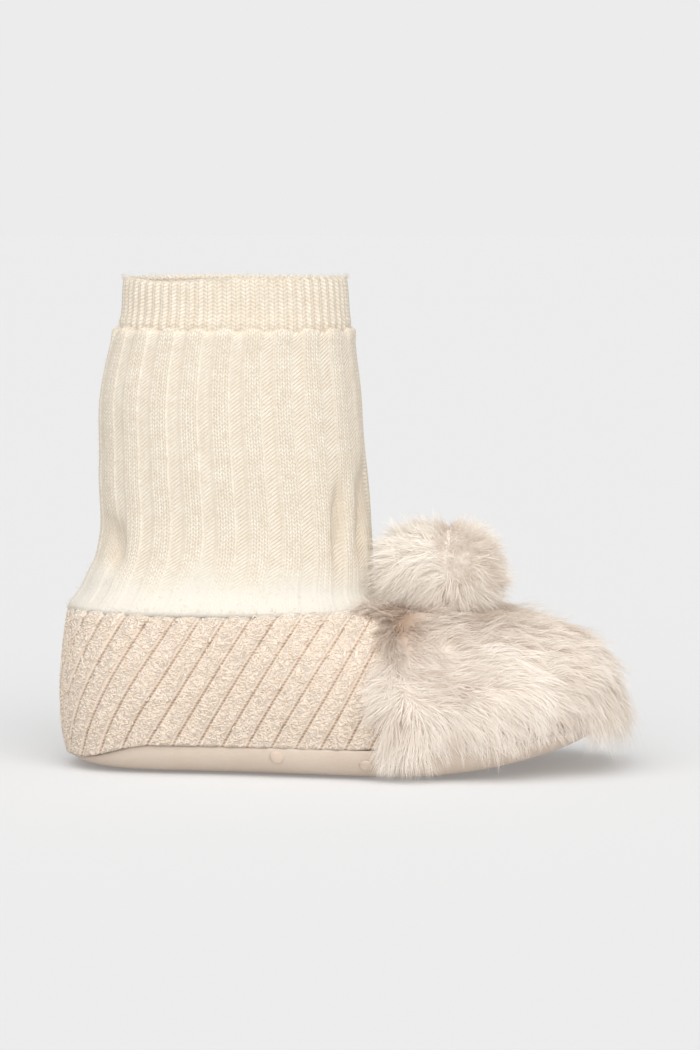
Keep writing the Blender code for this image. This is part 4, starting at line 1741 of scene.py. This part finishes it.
    def build_coat(self, layer: FurLayer) -> bpy.types.Object:
        """Grows one layer of the vamp's hair.

        Args:
            layer: Undercoat, guard hair or the fringe along the edges.

        Returns:
            The piece.
        """
        draw = np.random.default_rng(self.seed + list(FurLayer).index(layer))
        fringe = layer is FurLayer.FRINGE
        s, v = (self.fringe_roots if fringe else self.roots)(layer.value.hairs, draw)
        out = self.last.frame(s, v)[2]
        bare = self.last.surface(s, v)
        x = bare[:, 0] + self.last.origin_x
        pressed = self.under_pompom(bare)
        parting_shade = self.parting_shade(bare)
        low = 1.0 - smooth_step(v, 0.0, 0.20)
        at_seam = 1.0 - smooth_step(self.last.into_fur(s, v), 0.0, 0.005)
        raised = self.edge_raise * np.maximum(low, at_seam)
        root = bare + out * (self.hide_height(s, v, bare) - self.root_sunk + raised)[:, None]
        flow = self.flow(bare, v)
        flow = unit(flow - out * (flow * out).sum(axis=-1, keepdims=True))
        hang = np.zeros(len(x))
        for middle, width, strength in self.fringe_tufts:
            hang += strength * np.exp(-(((x - middle) / width) ** 4))
        length = (1.0 - 0.45 * pressed) * (1.0 - 0.30 * parting_shade)
        length = length * (1.0 + low * (0.40 * hang - 0.10 + 0.20 * value_noise(bare, 0.006, 19)))
        toe = smooth_step(x, 0.106, 0.118)
        length = length * (1.0 - 0.15 * toe * (1.0 - low))
        if fringe:
            length = length * (1.0 + 0.45 * (1.0 - low) * (1.0 - smooth_step(v, 0.5, 0.9)))
        lift = (1.0 - 0.6 * pressed) * (1.0 - 0.15 * parting_shade) * (1.0 - 0.80 * self.toe_slope(bare, v))
        lift = lift * (1.0 - 0.55 * low + 1.1 * low * toe)
        # Random tone, with brown painted shade where the hair parts.
        tint_and_shade = 0.25 + 0.22 * value_noise(bare, 0.006, 17) + 0.8 * parting_shade
        return self.grow(layer, root, out, flow, np.stack([length, lift]), tint_and_shade, parting_shade, draw)

    def build_core(self) -> bpy.types.Object:
        """Makes the pompom's soft core.

        Returns:
            The piece.
        """
        turn = np.linspace(0.0, 2.0 * math.pi, 49)
        tilt = np.linspace(-math.pi / 2, math.pi / 2, 25)
        level, around = np.meshgrid(tilt, turn, indexing="ij")
        wide = np.cos(level)
        ball = np.stack([wide * np.cos(around), wide * np.sin(around), np.sin(level)], axis=-1)
        ball[0] = (0.0, 0.0, -1.0)
        ball[-1] = (0.0, 0.0, 1.0)
        ball[:, -1] = ball[:, 0]
        tufted = self.pompom_core + 0.06 * value_noise(ball, 0.35, 41)
        points = self.pompom_centre + ball * np.array(self.pompom_half) * tufted[..., None]
        uv = np.stack([around, level], axis=-1)
        marks = {"hue": 0.3 + 0.3 * value_noise(ball, 0.5, 42), "along": np.full_like(level, 0.5)}
        return sheet("pompom_core", points, uv, marks)

    def build_pompom(self) -> bpy.types.Object:
        """Grows the pompom's hair: swept back on its back half, forward on its front half, split between, with
        painted shade in the split, on its toe side and underneath.

        Returns:
            The piece.
        """
        layer = FurLayer.POMPOM
        draw = np.random.default_rng(self.seed + 9)
        count = layer.value.hairs
        out = unit(draw.normal(0.0, 1.0, (count, 3)))
        half = np.array(self.pompom_half)
        boxy = (np.abs(out[:, [0, 2]]) ** 3).sum(axis=-1) + np.abs(out[:, 1]) ** 2
        fuller = 1.0 + 0.10 * value_noise(out, 0.7, 47) - 0.03 * out[:, 0] * smooth_step(out[:, 2], -0.3, 0.5)
        swell = (boxy ** (-1.0 / 3.0) * fuller)[:, None]
        root = self.pompom_centre + out * half * draw.uniform(*self.pompom_roots, (count, 1)) * swell
        beside = root[:, 0] + self.last.origin_x - self.pompom_parting
        parting_shade = np.exp(-((beside / self.pompom_parting_width) ** 2)) * smooth_step(out[:, 2], 0.0, 0.5)
        sweep = np.zeros_like(out)
        sweep[:, 0] = np.where(beside < 0.0, -0.75, 0.35)
        sweep[:, 2] = -0.35 * smooth_step(-out[:, 2], -0.2, 0.6)
        loose = 0.50 + 0.60 * smooth_step(-out[:, 1], 0.5, 0.95)
        for axis in range(3):
            sweep[:, axis] += loose * value_noise(out, 0.42, 51 + axis)
        sweep -= out * (sweep * out).sum(axis=-1, keepdims=True)
        heading = unit(out * 0.55 + sweep)
        length = 1.0 + 0.35 * np.clip(-out[:, 0], 0.0, 1.0) + 0.60 * np.clip(-out[:, 2], 0.0, 1.0)
        length = length - 0.45 * parting_shade
        # Painted shade: the pompom's hair deeper on its toe side and underneath and paler on top, with random
        # tone and more shade in its split.
        tint_and_shade = 0.15 + 0.25 * value_noise(out, 0.6, 44) + 0.32 * out[:, 0] - 0.16 * out[:, 2] + 0.6 * parting_shade
        lift = np.full(count, 0.5) * (1.0 - 0.6 * parting_shade)
        return self.grow(layer, root, out, heading, np.stack([length, lift]), tint_and_shade, 0.3 * parting_shade, draw)

    def build(self, groups: NodeGroups) -> list[bpy.types.Object]:
        """Makes and dresses vamp and pompom.

        Args:
            groups: The shared node groups.

        Returns:
            The pieces.
        """
        material = self.finish.material(groups)
        coats = (FurLayer.UNDERCOAT, FurLayer.GUARD, FurLayer.FRINGE)
        vamp = [self.build_hide(), *(self.build_coat(layer) for layer in coats)]
        pompom = [self.build_core(), self.build_pompom()]
        for piece in vamp + pompom:
            dress(piece, material, "vamp_fur" if piece in vamp else "pompom")
        return vamp + pompom


@dataclass
class Sole:
    """The soft fabric sole with its anti-slip dots, the insole pad and the upper's lining."""

    last: Last
    fabric: SoftFabricFinish
    pad: SoftFabricFinish
    lining: SoftFabricFinish
    grip: GripFinish
    rim_out: float = 0.0015
    rim_in: float = 0.0013
    cup_inset: float = 0.0035
    floor_thickness: float = 0.0015
    flat_inset: float = 0.0065
    heel_roll: float = 0.0015
    heel_rolls_to: float = 0.055
    side_steps: int = 16
    puckers: int = 74
    pucker_depth: float = 0.00012
    lump_depth: float = 0.00025
    dot_height: float = 0.0004
    dot_radius: float = 0.0016
    dot_pitch: float = 0.0092
    dot_start: float = 0.006
    dot_row_pitch: float = 0.95
    dot_columns: int = 4
    dot_segments: int = 14
    dot_rings: int = 8
    side_columns: int = 220
    side_dots: tuple[tuple[float, float], ...] = ((0.0479, 0.78), (0.0673, 0.62))
    insole_inset: float = 0.0036
    insole_thickness: float = 0.0022
    insole_columns: int = 120
    insole_clear: float = 0.0003
    lining_columns: int = 160
    lining_rows: int = 22
    wall: float = 0.0014

    def ring(self, s: Array, inset: Array, share: Array) -> tuple[Array, Array]:
        """x and y of the feather line moved in and shrunk.

        Args:
            s: Fractions of the perimeter.
            inset: Distance in.
            share: What is left of the size after shrinking to the middle.

        Returns:
            x from the last's own back, and y.
        """
        x, y = self.last.feather(s)
        out_x, out_y = self.last.outward(s)
        middle = self.last.sole_length / 2
        return middle + (x - inset * out_x - middle) * share, (y - inset * out_y) * share

    def profile(self, s: Array) -> tuple[Array, Array]:
        """The sole's outer side from the flat underside to the seam.

        Args:
            s: Fractions of the perimeter, in one row.

        Returns:
            Insets and heights, each steps by fractions.
        """
        x, _ = self.last.feather(s)
        seam = self.last.seam_height(x) - self.last.spring(x) - 0.0002
        step = np.linspace(0.0, 1.0, self.side_steps)[:, None]
        turn = step * math.pi / 2
        rounded = np.sin(turn) ** 0.75
        fuller = smooth_step(x, 0.0, self.heel_rolls_to)
        flat = self.flat_inset + self.heel_roll * (1.0 - fuller)
        rim = self.rim_out * (0.2 + 0.8 * fuller)
        inset = flat - (flat + rim) * rounded
        height = self.dot_height + (seam - self.dot_height) * (1.0 - np.cos(turn)) ** 0.9
        pucker = self.pucker_depth * np.sin(2.0 * np.pi * s * self.puckers) * step**2
        return inset - pucker, height

    def build_sole(self) -> bpy.types.Object:
        """Cuts the sole: flat underside, rounded side, rim and the inside of the cup.

        Returns:
            The piece.
        """
        s = np.linspace(0.0, 1.0, self.side_columns + 1)
        ones = np.ones_like(s)
        inset, height = self.profile(s)
        underside = [(inset[0], self.dot_height, share) for share in (0.0, 0.25, 0.5, 0.75, 0.92)]
        outside = [(*row, 1.0) for row in zip(inset, height)]
        rim = [(self.rim_in * ones, height[-1], 1.0)]
        cup = [(self.cup_inset * ones, self.floor_thickness, share) for share in (1.0, 0.9, 0.5, 0.0)]
        points = self.stack(s, underside + outside + rim + cup)
        first, many = len(underside) + 1, self.side_steps - 2
        side = np.zeros((len(points), 1))
        side[first:first + many, 0] = np.sin(np.linspace(0.0, np.pi, many))
        points[..., 2] += self.lump_depth * value_noise(points, 0.010, 51) * side
        return sheet("sole_fabric", points, points[..., :2].copy(), {})

    def stack(self, s: Array, rows: list[tuple[Array, Array | float, float]]) -> Array:
        """Points of rings one over the other, bent up with the toe.

        Args:
            s: Fractions of the perimeter.
            rows: Inset, height and what is left of the size of each ring.

        Returns:
            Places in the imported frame, rings by fractions by 3.
        """
        points = []
        for inset, height, share in rows:
            x, y = self.ring(s, inset, share)
            points.append(np.stack([x - self.last.origin_x, y, height + self.last.spring(x)], axis=-1))
        return np.array(points)

    def build_dots(self) -> bpy.types.Object:
        """Sets the grip dots: one low round dot, copied over the underside and along the side.

        Returns:
            The piece.
        """
        deselect_all()
        bpy.ops.mesh.primitive_uv_sphere_add(
            segments=self.dot_segments, ring_count=self.dot_rings, radius=1.0
        )
        master = bpy.context.object
        ball = np.empty(len(master.data.vertices) * 3, np.float32)
        master.data.vertices.foreach_get("co", ball)
        ball = ball.reshape(-1, 3)
        faces = [tuple(face.vertices) for face in master.data.polygons]
        bpy.data.objects.remove(master)
        places, frames = self.dot_places()
        points, copies = [], []
        for place, (one, two, out) in zip(places, frames):
            base = len(points) * len(ball)
            flat = ball * [self.dot_radius, self.dot_radius, self.dot_height]
            points.append(place + flat[:, :1] * one + flat[:, 1:2] * two + flat[:, 2:] * out)
            copies += [tuple(base + index for index in face) for face in faces]
        mesh = bpy.data.meshes.new("sole_grip_dots")
        mesh.from_pydata(np.concatenate(points).tolist(), [], copies)
        mesh.shade_smooth()
        return link("sole_grip_dots", mesh)

    def dot_places(self) -> tuple[list[Array], list[tuple[Array, Array, Array]]]:
        """Where the dots sit and how they are turned.

        Returns:
            Places, and for each two directions along the cloth and one out of it.
        """
        places, frames = [], []
        rows = int(self.last.sole_length / self.dot_pitch) + 1
        for row in range(rows):
            x = self.dot_start + row * self.dot_pitch * self.dot_row_pitch
            for column in range(-self.dot_columns, self.dot_columns + 1):
                y = (column + 0.5 * (row % 2)) * self.dot_pitch
                if not self.inside(x, y, self.flat_inset + self.heel_roll + self.dot_radius):
                    continue
                tilt = (self.last.spring(np.array(x + 0.001)) - self.last.spring(np.array(x - 0.001))) / 0.002
                one = unit(np.array([1.0, 0.0, float(tilt)]))
                two = np.array([0.0, 1.0, 0.0])
                height = self.dot_height + float(self.last.spring(np.array(x)))
                places.append(np.array([x - self.last.origin_x, y, height]))
                frames.append((one, two, np.cross(one, two) * -1.0))
        for x, share in self.side_dots:
            for side in (-1.0, 1.0):
                place, frame = self.side_place(x, share, side)
                places.append(place)
                frames.append(frame)
        return places, frames

    def side_place(self, x: float, share: float, side: float) -> tuple[Array, tuple[Array, Array, Array]]:
        """Place and turn of one dot on the sole's side.

        Args:
            x: Along the foot, from the last's own back.
            share: Share of the way from the flat underside to the seam.
            side: -1 or 1.

        Returns:
            The place, and two directions along the cloth and one out of it.
        """
        s = np.linspace(0.0, 0.5, 400)
        at = float(np.interp(x, self.last.feather(s)[0], s))
        spot = np.array([at if side < 0 else 1.0 - at])
        inset, height = self.profile(spot)

        def point(k: float) -> Array:
            """A point of the side.

            Args:
                k: Steps up from the flat underside.

            Returns:
                The place.
            """
            row = np.arange(len(inset))
            px, py = self.ring(spot, np.interp(k, row, inset[:, 0]), 1.0)
            pz = np.interp(k, row, height[:, 0]) + self.last.spring(px)
            return np.array([px[0] - self.last.origin_x, py[0], pz[0]])

        step = share * (len(inset) - 1)
        place = point(step)
        up = unit(point(step + 0.5) - point(step - 0.5))
        along = np.array([1.0, 0.0, 0.0])
        out = unit(np.cross(along, up))
        out = out if out[1] * side > 0 else -out
        return place, (along, up, out)

    def inside(self, x: float, y: float, inset: float) -> bool:
        """Whether a place lies within the feather line.

        Args:
            x: Along the foot, from the last's own back.
            y: Across the foot.
            inset: How far within the line it has to be.

        Returns:
            True if it does.
        """
        s = np.linspace(0.0, 0.5, 400)
        line_x, line_y = self.last.feather(s)
        if not inset < x < self.last.sole_length - inset:
            return False
        return abs(y) < abs(float(np.interp(x, line_x, line_y))) - inset

    def build_insole(self) -> bpy.types.Object:
        """Makes the insole: a crowned pad.

        Returns:
            The piece.
        """
        s = np.linspace(0.0, 1.0, self.insole_columns + 1)
        low = self.floor_thickness + self.insole_clear
        high = low + self.insole_thickness
        rows = (
            (0.0, low), (0.5, low), (0.97, low), (1.0, low + 0.0006),
            (1.0, high - 0.0008), (0.985, high - 0.0002), (0.95, high),
            (0.7, high + 0.0002), (0.4, high + 0.0003), (0.0, high + 0.0003),
        )
        inset = np.full_like(s, self.insole_inset)
        points = self.stack(s, [(inset, height, share) for share, height in rows])
        return sheet("insole_pad", points, points[..., :2].copy(), {})

    def build_lining(self) -> bpy.types.Object:
        """Makes the upper's lining, a smooth hollow shell on the last.

        Returns:
            The piece.
        """
        s = np.linspace(0.0, 1.0, self.lining_columns + 1)
        v_out = np.linspace(0.0, 1.0, self.lining_rows)
        v_row = np.concatenate([v_out, v_out[::-1], v_out[:1]])
        depth = np.repeat([0.0, -self.wall, 0.0], [len(v_out), len(v_out), 1])
        v, across = np.meshgrid(v_row, s, indexing="ij")
        points = self.last.offset(across, v, np.broadcast_to(depth[:, None], v.shape))
        return sheet("upper_lining", points, np.stack([across, v], axis=-1), {})

    def build(self, groups: NodeGroups) -> list[bpy.types.Object]:
        """Makes and dresses sole, dots, insole and lining.

        Args:
            groups: The shared node groups.

        Returns:
            The pieces.
        """
        plan = (
            (self.build_sole(), self.fabric, "sole_fabric", "outsole"),
            (self.build_dots(), self.grip, "sole_fabric", "outsole"),
            (self.build_insole(), self.pad, "insole_fabric", "insole"),
            (self.build_lining(), self.lining, "lining", "upper"),
        )
        for piece, finish, slot, node in plan:
            dress(piece, finish.material(groups), node)
        return [row[0] for row in plan]


@dataclass
class Studio:
    """Pale floor, soft light and the camera at the photo's angle."""

    last: Last
    yaw_degrees: float = 5.0
    camera_height: float = 0.12
    distance: float = 0.87
    target_x: float = 0.06127
    target_height: float = 0.053
    pixel: float = 0.00022
    sensor: float = 36.0
    floor_size: float = 60.0
    backdrop: Colour = (0.838, 0.838, 0.838)
    sky: Colour = (0.36, 0.36, 0.36)
    key_strength: float = 2.30
    key_from: tuple[float, float, float] = (-0.10, -0.62, 0.92)
    key_spread: float = 80.0
    fill_strength: float = 1.25
    fill_from: tuple[float, float, float] = (0.42, -0.90, 0.40)
    fill_spread: float = 70.0

    def build_camera(self) -> None:
        """Sets the camera so that one photo pixel at the bootie has its real size."""
        yaw = math.radians(self.yaw_degrees)
        target = Vector((self.target_x - self.last.origin_x, 0.0, self.target_height))
        ahead, aside = self.distance * math.sin(yaw), -self.distance * math.cos(yaw)
        place = Vector((target.x + ahead, aside, self.camera_height))
        data = bpy.data.cameras.new("photo_camera")
        data.sensor_fit = "VERTICAL"
        data.sensor_height = self.sensor
        data.lens = (target - place).length / self.pixel / PHOTO_SIZE[1] * data.sensor_height
        camera = link("photo_camera", data)
        camera.location = place
        camera.rotation_euler = (target - place).to_track_quat("-Z", "Y").to_euler()
        bpy.context.scene.camera = camera

    @staticmethod
    def add_sun(name: str, direction: tuple[float, float, float], strength: float, spread: float) -> None:
        """Adds a broad even light.

        Args:
            name: Name of the light.
            direction: Which way the light comes from.
            strength: Its strength.
            spread: Its apparent size, in degrees.
        """
        data = bpy.data.lights.new(name, "SUN")
        data.energy = strength
        data.angle = math.radians(spread)
        link(name, data).rotation_euler = Vector(direction).to_track_quat("Z", "Y").to_euler()

    def build_sky(self) -> None:
        """Sets the even sky that lights the bootie, and the backdrop that the camera sees in its place."""
        world = bpy.data.worlds.new("studio_sky")
        world.use_nodes = True
        graph = Graph(world.node_tree)
        seen = graph.add("ShaderNodeLightPath").outputs["Is Camera Ray"]
        colour = graph.blend(seen, self.sky, self.backdrop)
        graph.fill(world.node_tree.nodes["Background"].inputs["Color"], colour)
        bpy.context.scene.world = world

    def build(self, groups: NodeGroups) -> None:
        """Sets floor, light, sky and camera.

        Args:
            groups: The shared node groups.
        """
        deselect_all()
        bpy.ops.mesh.primitive_plane_add(size=self.floor_size)
        floor = bpy.context.object
        floor.name = "studio_floor"
        floor.data.materials.append(FloorFinish().material(groups))
        self.build_sky()
        self.add_sun("key_light", self.key_from, self.key_strength, self.key_spread)
        self.add_sun("fill_light", self.fill_from, self.fill_strength, self.fill_spread)
        bpy.context.scene.view_settings.view_transform = "Standard"
        self.build_camera()


def main() -> None:
    """Builds every piece of the bootie in order, then the studio."""
    logging.basicConfig(level=logging.INFO, format="%(name)s: %(message)s")
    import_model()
    last = Last(origin_x=-Sole.rim_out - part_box("outsole")[0][0])
    groups = NodeGroups()
    sole_cloth = SoftFabricFinish("pale_peach_jersey", (0.660, 0.556, 0.461), (0.632, 0.520, 0.426))
    pad_cloth = SoftFabricFinish("insole_cotton", (0.83, 0.75, 0.65), (0.79, 0.70, 0.59))
    lining_cloth = SoftFabricFinish("lining_cotton", (0.86, 0.79, 0.69), (0.81, 0.73, 0.62))
    assemblies = (
        Sole(last, sole_cloth, pad_cloth, lining_cloth, GripFinish()),
        Corduroy(last, CorduroyFinish()),
        Sock(last, KnitFinish()),
        Fur(last, FurFinish()),
    )
    for assembly in assemblies:
        for piece in assembly.build(groups):
            LOG.info("%s: %d faces", piece.name, len(piece.data.polygons))
    Studio(last).build(groups)


if __name__ == "__main__":
    main()
